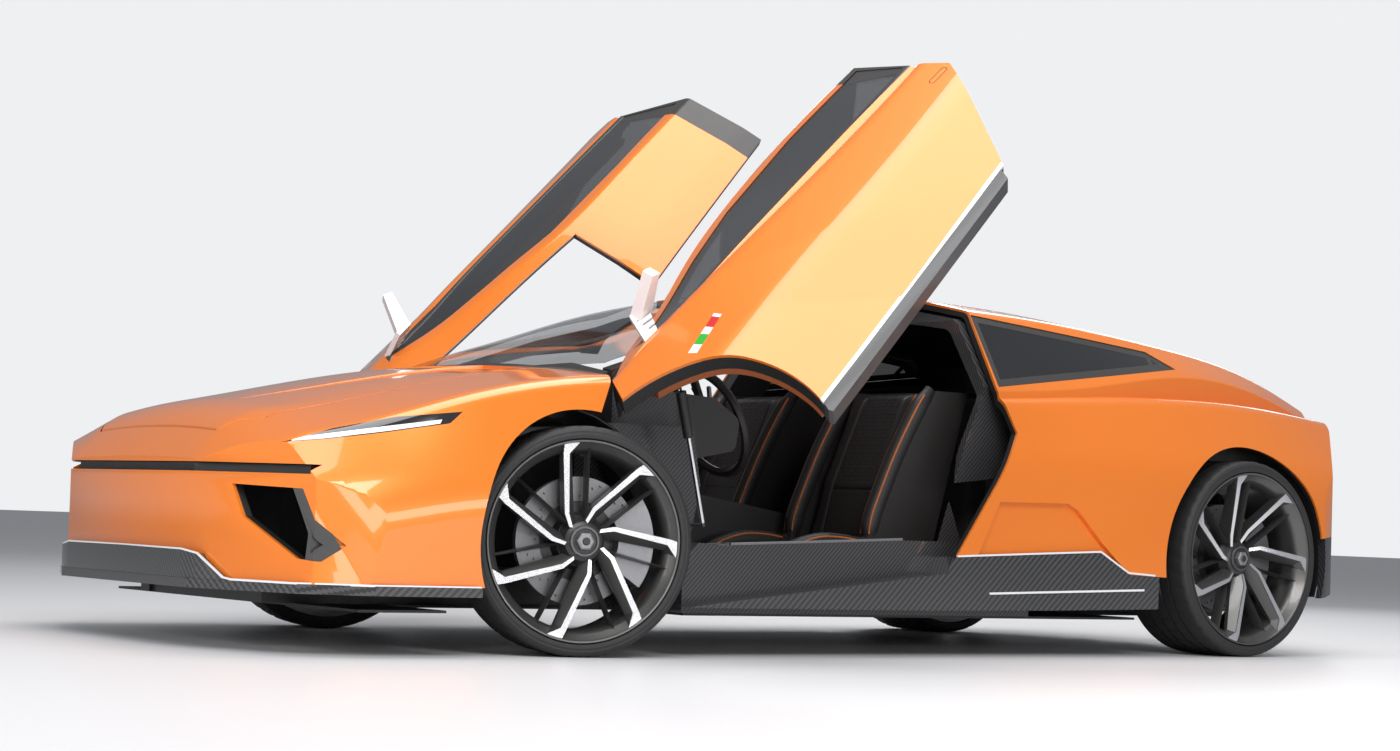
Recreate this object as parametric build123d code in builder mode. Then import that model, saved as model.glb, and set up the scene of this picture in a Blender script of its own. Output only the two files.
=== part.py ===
"""Two-seat supercar: carbon tub, painted clamshells, two butterfly doors, seven-spoke wheels.

Millimetres. +X points to the nose, +Y to the left, +Z up. The origin lies on the
ground, under the middle of the car.
"""
from build123d import *
from math import cos, sin, tan, radians, degrees, atan2, pi
import os

os.makedirs("parts", exist_ok=True)

# ------------------------------------------------------------------ driving dimensions
RAIL_TOP = 220                  # top of the chassis rails
SPLITTER_TOP = 199.5            # seat of the nose panels on the splitter
STRUT_FOOT = (742, 777, 399)    # left gas strut: ball on the tub
STRUT_HEAD = (903, 836, 868)    # ball on the open door
STRUT_ROD = 8                   # radius of its rod
STRUT_TUBE = 16                 # radius of its tube
STRUT_BALL = 8                  # radius of the ball at either end
STRUT_STUD = 5                  # radius of the stud that carries a ball
FRONT_AXLE_X = 1222             # kingpin line of the front wheels
REAR_AXLE_X = -1565             # axle line of the rear wheels
NOSE_X = 2306                   # tip of the splitter
TAIL_X = -2306                  # tip of the diffuser
PANEL = 28                      # depth of a painted clamshell with its inner skin
DOOR_DEPTH = 90                 # depth of a whole door below its window
TRIM_DEPTH = 26                 # share of that depth taken by the inner trim
FRAME_DEPTH = 34                # depth of the window frame and the half roof
GAP = 6                         # shut gap round everything that moves
SEAT_CLEAR = 0.4                # clearance between pieces that seat on each other

# wheels: rolling radius, tyre width, rim radius, plane of the rim lip, hub recess
FRONT_TYRE_RADIUS = 340
REAR_TYRE_RADIUS = 347
FRONT_TYRE_WIDTH = 250
REAR_TYRE_WIDTH = 305
FRONT_RIM_RADIUS = 299
REAR_RIM_RADIUS = 306
FRONT_WHEEL_Y = 905             # outer face of the front tyre when it points ahead
REAR_WHEEL_Y = 940
HUB_X_BACK = 50                 # how deep the rear hub face lies behind the rim lip
STEER_REST = -15.7              # steering angle at rest, turned to the right
KINGPIN_Y = FRONT_WHEEL_Y - 139  # middle of a front upright
REAR_UPRIGHT_Y = REAR_WHEEL_Y - 214
SPOKES = 7
SPOKE_PHASE = 9.3               # lean of the first spoke towards the nose, at the top

# wheel arches: centre x, centre z, radius
FRONT_ARCH = (1241, 340, 388)
REAR_ARCH = (-1547, 335, 408)
ARCH_LINER = 5                  # wall of an arch liner
LINER_SIDES = 36                # flats round a whole liner
A_POST_Y = 700                  # outer face of the hinge posts
HOUSING_EXTRA = 14              # how much wider a wheel housing is than its arch
ARCH_INNER_Y = 470              # inner wall of a wheel housing

# door hinge: a point on the left hinge line, its direction, and the opening angle
HINGE = (960, 680, 890)
HINGE_DIRECTION = (1.292, 1.0, -0.581)
DOOR_OPEN = 67.45

# ------------------------------------------------------------------ body surface tables
# Lower body. Columns: station x; half width and height of the bottom corner, of the
# flank, of the crest and of the valley inboard of it; height on the centre line.
BODY = [
    (2300, 800, 190, 850, 400, 700, 490, 400, 520, 526),
    (2200, 835, 180, 868, 410, 722, 572, 420, 636, 652),
    (2020, 880, 165, 900, 430, 762, 636, 470, 704, 736),
    (1640, 905, 150, 928, 460, 820, 748, 520, 784, 818),
    (1225, 912, 145, 934, 500, 800, 826, 560, 858, 880),
    (700, 905, 145, 908, 560, 812, 850, 560, 856, 864),
    (-100, 900, 150, 904, 600, 815, 862, 560, 806, 812),
    (-620, 908, 155, 908, 640, 815, 884, 560, 826, 832),
    (-1150, 930, 165, 938, 640, 815, 908, 560, 860, 866),
    (-1600, 935, 175, 950, 640, 806, 908, 560, 872, 880),
    (-2000, 925, 220, 935, 620, 775, 880, 520, 868, 876),
    (-2330, 880, 300, 885, 620, 720, 852, 460, 864, 872),
]
FLANK_CUT = 90                  # how far the flank's corner is cut back either way
CREST_CUT = 26                  # likewise the crest's
CROWN_SHARE = 0.76              # share of a crown's rise that it reaches half way to the middle

# Canopy. Columns: station x; half width and height of the belt, of the roof rail and of
# the roof inboard of it; height of the roof on the centre line.
CANOPY = [
    (1360, 700, 640, 640, 688, 420, 770, 800),
    (1100, 792, 806, 748, 844, 430, 896, 918),
    (800, 800, 836, 694, 946, 400, 1000, 1018),
    (540, 804, 848, 636, 1042, 370, 1090, 1104),
    (276, 806, 858, 588, 1118, 350, 1160, 1174),
    (-100, 806, 868, 580, 1158, 350, 1198, 1212),
    (-500, 803, 883, 586, 1163, 350, 1208, 1222),
    (-900, 786, 920, 604, 1146, 350, 1196, 1210),
    (-1400, 740, 985, 612, 1098, 350, 1150, 1166),
    (-1850, 690, 950, 596, 1030, 340, 1078, 1094),
    (-2330, 600, 830, 560, 880, 330, 912, 924),
]
CANOPY_FLOOR = 400
RAIL_CUT = 16

# Outline of the car seen from above, left half, nose to tail.
PLAN = [
    (NOSE_X, 0), (NOSE_X - 2, 405), (2114, 832), (1930, 905), (1700, 960),
    (-1900, 960), (-2030, 905), (-2155, 777), (-2262, 500), (TAIL_X, 0),
]
# Outline of the nose and of the tail seen from the side, top to bottom.
NOSE_SIDE = [(2286, 660), (2286, 531), (2305, 503), (2272, 413), (2262, 350), (2266, 300),
             (2266, 60)]
TAIL_SIDE = [(-2170, 60), (-2195, 300), (TAIL_X, 395), (-2288, 500), (-2270, 700),
             (-2280, 850), (-2266, 905), (-2120, 1500)]
TOP_Z = 1500

# Door shut line seen from the side, clockwise from the front corner on the arch.
DOOR_SIDE = [
    (1181, 722), (1112, 838), (1040, 880), (650, 1250), (-150, 1400), (-505, 1280),
    (-500, 1163), (-448, 883), (-486, 740), (-190, 313), (893, 192), (930, 150), (1300, 300),
]


def section_plane(x):
    """Plane across the car at station x, its own x along +Y and its own y along +Z."""
    return Plane(origin=(x, 0, 0), x_dir=(0, 1, 0), z_dir=(1, 0, 0))


def side_prism(points, y_from, y_to, inset=0.0, round_radius=0.0):
    """Solid with a side-view outline (x, z), from y_from to y_to."""
    with BuildPart() as prism:
        with BuildSketch(Plane.XZ.offset(-y_from)) as outline:
            with BuildLine():
                Polyline(*points, close=True)
            make_face()
            if round_radius:
                fillet(outline.vertices(), radius=round_radius)
            if inset:
                offset(amount=-inset, kind=Kind.INTERSECTION)
        extrude(amount=-(y_to - y_from))
    return prism.part


def plan_prism(points, z_from, z_to, inset=0.0):
    """Solid with a plan-view outline (x, y), from z_from to z_to."""
    with BuildPart() as prism:
        with BuildSketch(Plane.XY.offset(z_from)):
            with BuildLine():
                Polyline(*points, close=True)
            make_face()
            if inset:
                offset(amount=-inset, kind=Kind.INTERSECTION)
        extrude(amount=z_to - z_from)
    return prism.part


def front_prism(points, x_from, x_to, inset=0.0):
    """Solid with a front-view outline (y, z), from x_from to x_to."""
    with BuildPart() as prism:
        with BuildSketch(section_plane(x_from)):
            with BuildLine():
                Polyline(*points, close=True)
            make_face()
            if inset:
                offset(amount=-inset, kind=Kind.INTERSECTION)
        extrude(amount=x_to - x_from)
    return prism.part


def across(centre_x, centre_z, radius, y_from, y_to):
    """Cylinder along Y."""
    with BuildPart() as drum:
        with BuildSketch(Plane.XZ.offset(-y_from)):
            with Locations((centre_x, centre_z)):
                Circle(radius)
        extrude(amount=-(y_to - y_from))
    return drum.part


def softened(points, reaches):
    """Line with its inner corners cut off, each as far back as asked or as its runs allow."""
    line = [points[0]]
    for before, corner, after, reach in zip(points, points[1:], points[2:], reaches):
        before, corner, after = Vector(*before), Vector(*corner), Vector(*after)
        back = min(reach, 0.45 * (corner - before).length, 0.45 * (after - corner).length)
        line.append((corner + (before - corner).normalized() * back).to_tuple()[:2])
        line.append((corner + (after - corner).normalized() * back).to_tuple()[:2])
    line.append(points[-1])
    return line


def crossed_loft(sections):
    """Loft along X through half sections (x, line of y-z points, corner cuts, mid height)."""
    with BuildPart() as hull:
        for x, points, reaches, z_mid in sections:
            y_end, z_end = points[-1]
            half = softened(points, reaches)
            half.append((y_end / 2, z_end + (z_mid - z_end) * CROWN_SHARE))
            with BuildSketch(section_plane(x)):
                with BuildLine():
                    Polyline(*half, (0, z_mid), *[(-y, z) for y, z in reversed(half)], close=True)
                make_face()
        loft(ruled=True)
    return hull.part


def lower_body(inset, open_bottom):
    """Loft of the lower body, its walls moved inwards by inset."""
    sections = []
    for x, y_low, z_low, y_flank, z_flank, y_crest, z_crest, y_valley, z_valley, z_mid in BODY:
        bottom = z_low - 80 if open_bottom else z_low
        points = [(y_low - inset, bottom), (y_flank - inset, z_flank),
                  (y_crest - inset * 0.8, z_crest - inset), (y_valley, z_valley - inset)]
        sections.append((x, points, (FLANK_CUT, CREST_CUT), z_mid - inset))
    return crossed_loft(sections)


def canopy(inset):
    """Loft of the windscreen, roof and rear deck, its walls moved inwards by inset."""
    sections = []
    for x, y_belt, z_belt, y_rail, z_rail, y_roof, z_roof, z_mid in CANOPY:
        points = [(y_belt - inset, CANOPY_FLOOR), (y_belt - inset, z_belt - inset * 0.2),
                  (y_rail - inset * 0.7, z_rail - inset * 0.75), (y_roof, z_roof - inset)]
        sections.append((x, points, (4, RAIL_CUT), z_mid - inset))
    return crossed_loft(sections)


def outline_block(inset):
    """Block that the hull is trimmed to, seen from above and from the side."""
    right = [(x, -y) for x, y in reversed(PLAN[1:-1])]
    with BuildPart() as block:
        add(plan_prism(PLAN + right, 20, TOP_Z, inset))
        add(side_prism([(2286, TOP_Z)] + NOSE_SIDE[1:] + TAIL_SIDE, -1000, 1000, inset),
            mode=Mode.INTERSECT)
    return block.part


def hull(body_inset, canopy_inset, open_bottom=True):
    """Whole closed body, its lower walls and its canopy moved inwards."""
    with BuildPart() as whole:
        add(lower_body(body_inset, open_bottom))
        add(canopy(canopy_inset))
        add(outline_block(min(body_inset, 40)), mode=Mode.INTERSECT)
    return whole.part




def mirrored(shape):
    """The same piece on the other side of the car."""
    return mirror(shape, about=Plane.XZ)


def save(shape, name):
    """Label a finished piece and write it as its own file."""
    shape.label = name
    export_step(shape, f"parts/{name}.step")


# ------------------------------------------------------------------ hulls that share one surface
OUTER = hull(0, 0, open_bottom=False)                   # painted surface
CLAM_INNER = hull(PANEL, PANEL)                         # inside of the clamshells
DOOR_INNER = hull(DOOR_DEPTH - TRIM_DEPTH, FRAME_DEPTH)  # inside of the door skins
TRIM_OUTER = lower_body(DOOR_DEPTH - TRIM_DEPTH + SEAT_CLEAR, True)
TRIM_INNER = lower_body(DOOR_DEPTH, True)
TUB_OUTER = hull(DOOR_DEPTH + GAP + 14, FRAME_DEPTH + GAP)   # carbon structure under them
TUB_INNER = hull(DOOR_DEPTH + 70, FRAME_DEPTH + 50)     # cabin space


def shell(outer, inner):
    """What lies between two nested solids."""
    with BuildPart() as wall:
        add(outer)
        add(inner, mode=Mode.SUBTRACT)
    return wall.part


CLAM_SHELL = shell(OUTER, CLAM_INNER)
GLASS_SHELL = shell(canopy(3), canopy(8))

# ------------------------------------------------------------------ outlines that panels share
FAR_Y = 1000
SPINE_HALF = [(236, 188), (-529, 262)]                  # inner edge of the half roof, front and rear
HEADER_X = 262                                          # rear edge of the windscreen
A_STRIP = 62                                            # width of the painted strip beside the windscreen
COWL_X = 1226                                           # rear edge of the bonnet on the centre line
BONNET_SIDE = [(COWL_X - 14, 545), (2120, 520)]         # shut line of the bonnet, rear and front
BUMPER_TOP_Z = 503                                      # lower edge of the nose slot
NOSE_EDGE_Z = 530
DOOR_AREA = side_prism(DOOR_SIDE, 0, FAR_Y)
DOOR_AREAS = [DOOR_AREA, mirrored(DOOR_AREA)]
DOOR_SHAPE = side_prism(DOOR_SIDE, 150, FAR_Y, inset=GAP)


def both(solid):
    """A solid and its mirror image."""
    return [solid, mirrored(solid)]


def arches(arch, extra):
    """Cylinders that clear both wheel housings of an axle."""
    x, z, radius = arch
    return both(across(x, z, radius + extra, ARCH_INNER_Y - extra, FAR_Y))


# ------------------------------------------------------------------ plan outlines
def screen_plan(inset):
    """Plan outline of the windscreen opening, its edges moved inwards by inset."""
    edge = [(1175, 0), (1150, 420), (1030, 690 - A_STRIP), (HEADER_X, 585 - A_STRIP), (HEADER_X, 0)]
    right = [(x, -y) for x, y in reversed(edge[1:-1])]
    return plan_prism(edge + right, 700, TOP_Z, inset)


SCREEN_OPENING = screen_plan(0)
SPINE = plan_prism([(HEADER_X, -SPINE_HALF[0][1]), (HEADER_X, SPINE_HALF[0][1]), SPINE_HALF[1],
                    (-800, SPINE_HALF[1][1]), (-800, -SPINE_HALF[1][1]),
                    (SPINE_HALF[1][0], -SPINE_HALF[1][1])], 700, TOP_Z)
# everything in front of the door line: seen from the side
COWL_PLAN = plan_prism([(COWL_X, -300), (COWL_X, 300), (COWL_X - 20, 545), (1105, 760), (900, 760),
                        (900, -760), (1105, -760), (COWL_X - 20, -545)], 700, TOP_Z)


def hinge_knuckle(start, end, extra=0.0):
    """Left knuckle of a door hinge, between two distances along the hinge line."""
    direction = Vector(*HINGE_DIRECTION).normalized()
    with BuildPart() as knuckle:
        with BuildSketch(Plane(origin=Vector(*HINGE) + direction * start, z_dir=direction)):
            Circle(KNUCKLE_RADIUS + extra)
        extrude(amount=end - start)
        if not extra:
            add(OUTER, mode=Mode.INTERSECT)
    return knuckle.part


KNUCKLE_RADIUS = 9
KNUCKLE_SPLIT = 218                                     # where wing and door knuckle meet
KNUCKLE_LENGTH = 32
KNUCKLE_ROOM = 3                                        # room round a knuckle


def bonnet_plan(inset):
    """Plan outline of the bonnet, its edges moved inwards by inset."""
    left = [(COWL_X, 300)] + BONNET_SIDE + [(2214, 400)]
    right = [(x, -y) for x, y in reversed(left)]
    return plan_prism(left + right, 480, TOP_Z, inset)


# ------------------------------------------------------------------ painted panels
with BuildPart() as bonnet:
    add(CLAM_SHELL)
    add(bonnet_plan(GAP / 2), mode=Mode.INTERSECT)
save(bonnet.part, "bonnet")

# front view of the bumper face: its side edges follow the corner creases of the nose
BUMPER = [(-812, BUMPER_TOP_Z), (812, BUMPER_TOP_Z), (884, SPLITTER_TOP), (-884, SPLITTER_TOP)]
bumper_zone = front_prism(BUMPER, 1700, 2400)

HEADLAMP = [(2168, 590), (2030, 634), (1850, 676), (1655, 700), (1700, 664), (1900, 628), (2060, 602)]
FRONT_SIDE = [(2400, TOP_Z), (1000, TOP_Z), (1000, 700), (1241, 340), (1560, SPLITTER_TOP), (2400, SPLITTER_TOP)]
# front view of a side intake, left half
INTAKE = [(560, 470), (790, 462), (866, 308), (840, 262), (780, 268), (600, 380)]
INTAKE_FRAME = 22                                       # width of the frame round it
INTAKE_DEPTH = 52
intake_cut = front_prism(INTAKE, 1700, 2400)
with BuildPart() as front_wings:
    add(CLAM_SHELL)
    add(side_prism(FRONT_SIDE, -FAR_Y, FAR_Y), mode=Mode.INTERSECT)
    add(DOOR_AREAS + arches(FRONT_ARCH, 0) + both(side_prism(HEADLAMP, 450, FAR_Y))
        + both(intake_cut) + [bonnet_plan(-GAP / 2), COWL_PLAN, bumper_zone], mode=Mode.SUBTRACT)
    # slot across the nose
    with BuildSketch(section_plane(1700)):
        with Locations((0, (BUMPER_TOP_Z + NOSE_EDGE_Z) / 2)):
            Rectangle(2 * 812, NOSE_EDGE_Z - BUMPER_TOP_Z)
    extrude(amount=700, mode=Mode.SUBTRACT)
    for room in both(hinge_knuckle(KNUCKLE_SPLIT - KNUCKLE_LENGTH, KNUCKLE_SPLIT, KNUCKLE_ROOM)):
        add(room, mode=Mode.SUBTRACT)
    for knuckle in both(hinge_knuckle(KNUCKLE_SPLIT + SEAT_CLEAR, KNUCKLE_SPLIT + KNUCKLE_LENGTH)):
        add(knuckle)
save(front_wings.part, "front_wings")

with BuildPart() as front_bumper:
    add(CLAM_SHELL)
    add(bumper_zone, mode=Mode.INTERSECT)
    for cut in both(intake_cut):
        add(cut, mode=Mode.SUBTRACT)
save(front_bumper.part, "front_bumper")

# framed pocket behind each side intake
with BuildPart() as intake_box:
    add(OUTER)
    add(front_prism(INTAKE, 1700, 2400, SEAT_CLEAR), mode=Mode.INTERSECT)
    add(lower_body(INTAKE_DEPTH + 10, True), mode=Mode.SUBTRACT)
    with BuildPart(mode=Mode.PRIVATE) as pocket:
        add(front_prism(INTAKE, 1600, 2500, INTAKE_FRAME))
        add(lower_body(INTAKE_DEPTH, True), mode=Mode.SUBTRACT)
    add(pocket.part, mode=Mode.SUBTRACT)
save(Compound(both(intake_box.part)), "side_intakes")

# dark strip behind the slot across the nose
with BuildPart() as nose_grille:
    left = PLAN[1:5]
    plan = [(x, -y) for x, y in left[::-1]] + left
    add(plan_prism(plan, BUMPER_TOP_Z + SEAT_CLEAR, NOSE_EDGE_Z - 2, PANEL + SEAT_CLEAR))
    add(plan_prism(plan, 0, TOP_Z, PANEL + 8), mode=Mode.SUBTRACT)
    with Locations((2100, 0, BUMPER_TOP_Z)):
        Box(600, 1560, 200, mode=Mode.INTERSECT)
save(nose_grille.part, "nose_grille")

REAR_SIDE = [(HEADER_X, TOP_Z), (HEADER_X, 1040), (-180, 1040), (-180, 328), (-836, 352),
             (-969, 281), (-1139, 274), (-1960, 430), (-2400, 470), (-2400, TOP_Z)]
# hollow in the flank in front of the rear wheel
SCOOP = [(-380, 509), (-685, 514), (-731, 492), (-849, 379), (-969, 281), (-900, 200), (-250, 250)]
SCOOP_DEPTH = 18
TAIL_LAMP = (1420, 34, 806)                              # width, height, middle height
with BuildPart() as tail_lamp_zone:
    with BuildSketch(section_plane(-2400)):
        with Locations((0, TAIL_LAMP[2])):
            Rectangle(TAIL_LAMP[0], TAIL_LAMP[1])
    extrude(amount=300)
QUARTER_WINDOW = [(-500, 1150), (-462, 896), (-1400, 1016), (-1300, 1074)]
with BuildPart() as rear_clam:
    add(CLAM_SHELL)
    add(side_prism(REAR_SIDE, -FAR_Y, FAR_Y), mode=Mode.INTERSECT)
    for cut in DOOR_AREAS:
        with BuildPart(mode=Mode.PRIVATE) as opening:
            add(cut)
            add(SPINE, mode=Mode.SUBTRACT)
        add(opening.part, mode=Mode.SUBTRACT)
    for cut in arches(REAR_ARCH, 0) + both(side_prism(QUARTER_WINDOW, 400, FAR_Y)) + [tail_lamp_zone.part]:
        add(cut, mode=Mode.SUBTRACT)
    with BuildPart(mode=Mode.PRIVATE) as scoop:
        add(side_prism(SCOOP, 700, FAR_Y))
        add(lower_body(SCOOP_DEPTH, True), mode=Mode.SUBTRACT)
    for cut in both(scoop.part):
        add(cut, mode=Mode.SUBTRACT)
save(rear_clam.part, "rear_clam")


with BuildPart() as headlamp_left:
    add(CLAM_SHELL)
    add(side_prism(HEADLAMP, 450, FAR_Y, inset=SEAT_CLEAR), mode=Mode.INTERSECT)
save(Compound(both(headlamp_left.part)), "headlamps")

with BuildPart() as tail_lamp:
    add(CLAM_SHELL)
    with BuildSketch(section_plane(-2400)):
        with Locations((0, TAIL_LAMP[2])):
            Rectangle(TAIL_LAMP[0] - 2 * SEAT_CLEAR, TAIL_LAMP[1] - 2 * SEAT_CLEAR)
    extrude(amount=299, mode=Mode.INTERSECT)
save(tail_lamp.part, "tail_lamp")
with BuildPart() as cowl:
    add(CLAM_SHELL)
    with BuildPart(mode=Mode.PRIVATE) as cowl_ring:
        add(COWL_PLAN)
        add(SCREEN_OPENING, mode=Mode.SUBTRACT)
        add(plan_prism([(1085, -900), (1085, 900), (200, 900), (200, -900)], 700, TOP_Z), mode=Mode.SUBTRACT)
        for cut in DOOR_AREAS:
            add(cut, mode=Mode.SUBTRACT)
    add(cowl_ring.part, mode=Mode.INTERSECT)
save(cowl.part, "cowl")

REAR_LOW = [(-1960, 430 - SEAT_CLEAR), (-2400, 470 - SEAT_CLEAR), (-2400, 100), (-1900, 100), (-1900, 418)]
FIN_SIDE = [(-1985, 140), (-2400, 210), (-2400, 400), (-2180, 400)]
FIN_Y = (140, 420)
FIN_WIDTH = 9
with BuildPart() as diffuser:
    add(CLAM_SHELL)
    add(side_prism(REAR_LOW, -FAR_Y, FAR_Y), mode=Mode.INTERSECT)
    for cut in arches(REAR_ARCH, HOUSING_EXTRA + SEAT_CLEAR):
        add(cut, mode=Mode.SUBTRACT)
    with BuildPart(mode=Mode.PRIVATE) as fins:
        for y in FIN_Y:
            for fin in both(side_prism(FIN_SIDE, y, y + FIN_WIDTH)):
                add(fin)
        add(outline_block(PANEL / 2), mode=Mode.INTERSECT)
    add(fins.part)
save(diffuser.part, "diffuser")

# ------------------------------------------------------------------ glass
with BuildPart() as windscreen:
    add(GLASS_SHELL)
    add(screen_plan(SEAT_CLEAR), mode=Mode.INTERSECT)
    add(lower_body(0, True), mode=Mode.SUBTRACT)
save(windscreen.part, "windscreen")

with BuildPart() as quarter_glass:
    add(GLASS_SHELL)
    add(side_prism(QUARTER_WINDOW, 400, FAR_Y, inset=SEAT_CLEAR), mode=Mode.INTERSECT)
save(Compound(both(quarter_glass.part)), "quarter_glass")

# ------------------------------------------------------------------ doors, made closed and then opened
HINGE_LINE = Axis(HINGE, HINGE_DIRECTION)
WINDOW = [(940, 862), (800, 852), (-100, 884), (-436, 898), (-470, 1126), (-100, 1122),
          (276, 1082), (540, 1006), (800, 912)]
ROCKER = [(-168, 310 + GAP - SEAT_CLEAR), (893, 192 + GAP - SEAT_CLEAR), (880, 158), (-150, 276)]


def save_pair(shape, name):
    """Open a closed left-hand piece about the hinge line and save it with its mirror image."""
    left = shape.rotate(HINGE_LINE, DOOR_OPEN)
    save(left, name + "_left")
    save(mirrored(left), name + "_right")


SCREEN_GAP = GAP + 9                                    # between a door and the windscreen
DOOR_ARCH = across(FRONT_ARCH[0], FRONT_ARCH[1], FRONT_ARCH[2] + GAP, 0, FAR_Y)
# inner layers of the door's rear edge, drawn in so that it swings clear of the body
EDGE_RELIEF = [(-600, 640), (-432, 640), (-432, 905), (-600, 905)]
with BuildPart() as edge_relief:
    add(CLAM_INNER)
    add(side_prism(EDGE_RELIEF, 150, FAR_Y), mode=Mode.INTERSECT)
with BuildPart() as door_zone:
    add(DOOR_SHAPE)
    add(edge_relief.part, mode=Mode.SUBTRACT)
    add(DOOR_ARCH, mode=Mode.SUBTRACT)
    add(screen_plan(-SCREEN_GAP), mode=Mode.SUBTRACT)
    spine = [(300, SPINE_HALF[0][1] + GAP), (HEADER_X, SPINE_HALF[0][1] + GAP),
             (SPINE_HALF[1][0], SPINE_HALF[1][1] + GAP), (-800, SPINE_HALF[1][1] + GAP),
             (-800, -100), (300, -100)]
    add(plan_prism(spine, 700, TOP_Z), mode=Mode.SUBTRACT)

with BuildPart() as door_skin:
    add(OUTER)
    add(door_zone.part, mode=Mode.INTERSECT)
    add([DOOR_INNER, side_prism(WINDOW, 400, FAR_Y)], mode=Mode.SUBTRACT)
    add(hinge_knuckle(KNUCKLE_SPLIT, KNUCKLE_SPLIT + KNUCKLE_LENGTH, KNUCKLE_ROOM), mode=Mode.SUBTRACT)
    add(hinge_knuckle(KNUCKLE_SPLIT - KNUCKLE_LENGTH, KNUCKLE_SPLIT))
save_pair(door_skin.part, "door_skin")

with BuildPart() as door_glass:
    add(GLASS_SHELL)
    add(side_prism(WINDOW, 400, FAR_Y, inset=SEAT_CLEAR), mode=Mode.INTERSECT)
save_pair(door_glass.part, "door_glass")

TRIM_INNER_Y = 753                                      # inner edge of a door's lining
with BuildPart() as door_trim:
    add(door_zone.part)
    add(plan_prism([(1060, TRIM_INNER_Y), (1060, 1000), (-600, 1000), (-600, TRIM_INNER_Y)], 100, 815),
        mode=Mode.INTERSECT)
    add(side_prism(DOOR_SIDE, 150, FAR_Y, inset=GAP + 12), mode=Mode.INTERSECT)
    add(TRIM_OUTER, mode=Mode.INTERSECT)
    add(TRIM_INNER, mode=Mode.SUBTRACT)
    ball = (Pos(*STRUT_HEAD) * Sphere(STRUT_BALL, mode=Mode.PRIVATE)).rotate(HINGE_LINE, -DOOR_OPEN)
    head = ball.center()
    add(ball)
    add(across(head.X, head.Z, STRUT_STUD, head.Y, TRIM_INNER_Y + 9))
save_pair(door_trim.part, "door_trim")

with BuildPart() as door_rocker:
    add(side_prism(ROCKER, 600, FAR_Y))
    add(OUTER, mode=Mode.INTERSECT)
    add([DOOR_INNER, DOOR_ARCH], mode=Mode.SUBTRACT)
save_pair(door_rocker.part, "door_rocker")

MIRROR_BLADE = [(950, 820), (905, 944), (760, 950), (742, 906), (850, 820)]
MIRROR_SLOTS = (862, 886)
with BuildPart() as mirror_blade:
    with BuildSketch(Plane.XZ.offset(-782)):
        Polygon(*MIRROR_BLADE, align=None)
    extrude(amount=-18)
    with BuildSketch(Plane.XZ.offset(-782)):
        for z in MIRROR_SLOTS:
            with Locations((835, z)):
                Rectangle(84, 12, rotation=-12)
    extrude(amount=-18, mode=Mode.SUBTRACT)
    with BuildSketch(Plane.XY.offset(905)):
        Polygon((905, 800), (760, 800), (742, 930), (790, 945), align=None)
    extrude(amount=40)
    add(OUTER, mode=Mode.SUBTRACT)
save_pair(mirror_blade.part, "mirror")

# ------------------------------------------------------------------ lower trim outside
SPLITTER = [(2306, 0), (2303, 440), (2150, 812), (1960, 915), (1622, 930), (1622, 860), (1900, 830),
            (2080, 700), (2190, 420), (2200, 0)]
with BuildPart() as splitter:
    right = [(x, -y) for x, y in reversed(SPLITTER[1:-1])]
    with BuildSketch(Plane.XY.offset(SPLITTER_TOP - SEAT_CLEAR - 27)):
        Polygon(*(SPLITTER + right), align=None)
    extrude(amount=27)
save(splitter.part, "splitter")

SILL = [(848, 150), (880 - GAP, 158 - GAP), (-150 - GAP, 276 - GAP), (-190, 322), (-836, 352 - SEAT_CLEAR),
        (-969, 281 - SEAT_CLEAR), (-1110, 274), (-1110, 150)]
TUB_SIDE_Y = 800                                        # outer face of the carbon sill
with BuildPart() as sill_cover:
    add(side_prism(SILL, TUB_SIDE_Y + SEAT_CLEAR, FAR_Y))
    add(OUTER, mode=Mode.INTERSECT)
    add([across(FRONT_ARCH[0], FRONT_ARCH[1], FRONT_ARCH[2] + GAP, 400, FAR_Y),
         across(REAR_ARCH[0], REAR_ARCH[1], REAR_ARCH[2], 400, FAR_Y)], mode=Mode.SUBTRACT)
save(Compound(both(sill_cover.part)), "sill_covers")


def arch_liner(arch):
    """Half-round liner over a wheel, left side, out to the inner face of the panels."""
    x, z, radius = arch
    with BuildPart() as liner:
        with BuildSketch(Plane.XZ.offset(-ARCH_INNER_Y)):
            with Locations((x, z)):
                RegularPolygon(radius + HOUSING_EXTRA, LINER_SIDES)
                RegularPolygon(radius + HOUSING_EXTRA - ARCH_LINER, LINER_SIDES, mode=Mode.SUBTRACT)
            with Locations((x, z - radius)):
                Rectangle(2.2 * radius, 2 * radius - 240, mode=Mode.SUBTRACT)
        extrude(amount=-(FAR_Y - ARCH_INNER_Y))
        add(LINER_LIMIT, mode=Mode.INTERSECT)
        add(side_prism([(1190, 0), (1190, 900), (800, 900), (800, 0)], A_POST_Y - 1, FAR_Y),
            mode=Mode.SUBTRACT)
    return liner.part


LINER_LIMIT = lower_body(PANEL + SEAT_CLEAR, True)
save(Compound(both(arch_liner(FRONT_ARCH)) + both(arch_liner(REAR_ARCH))), "arch_liners")

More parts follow.
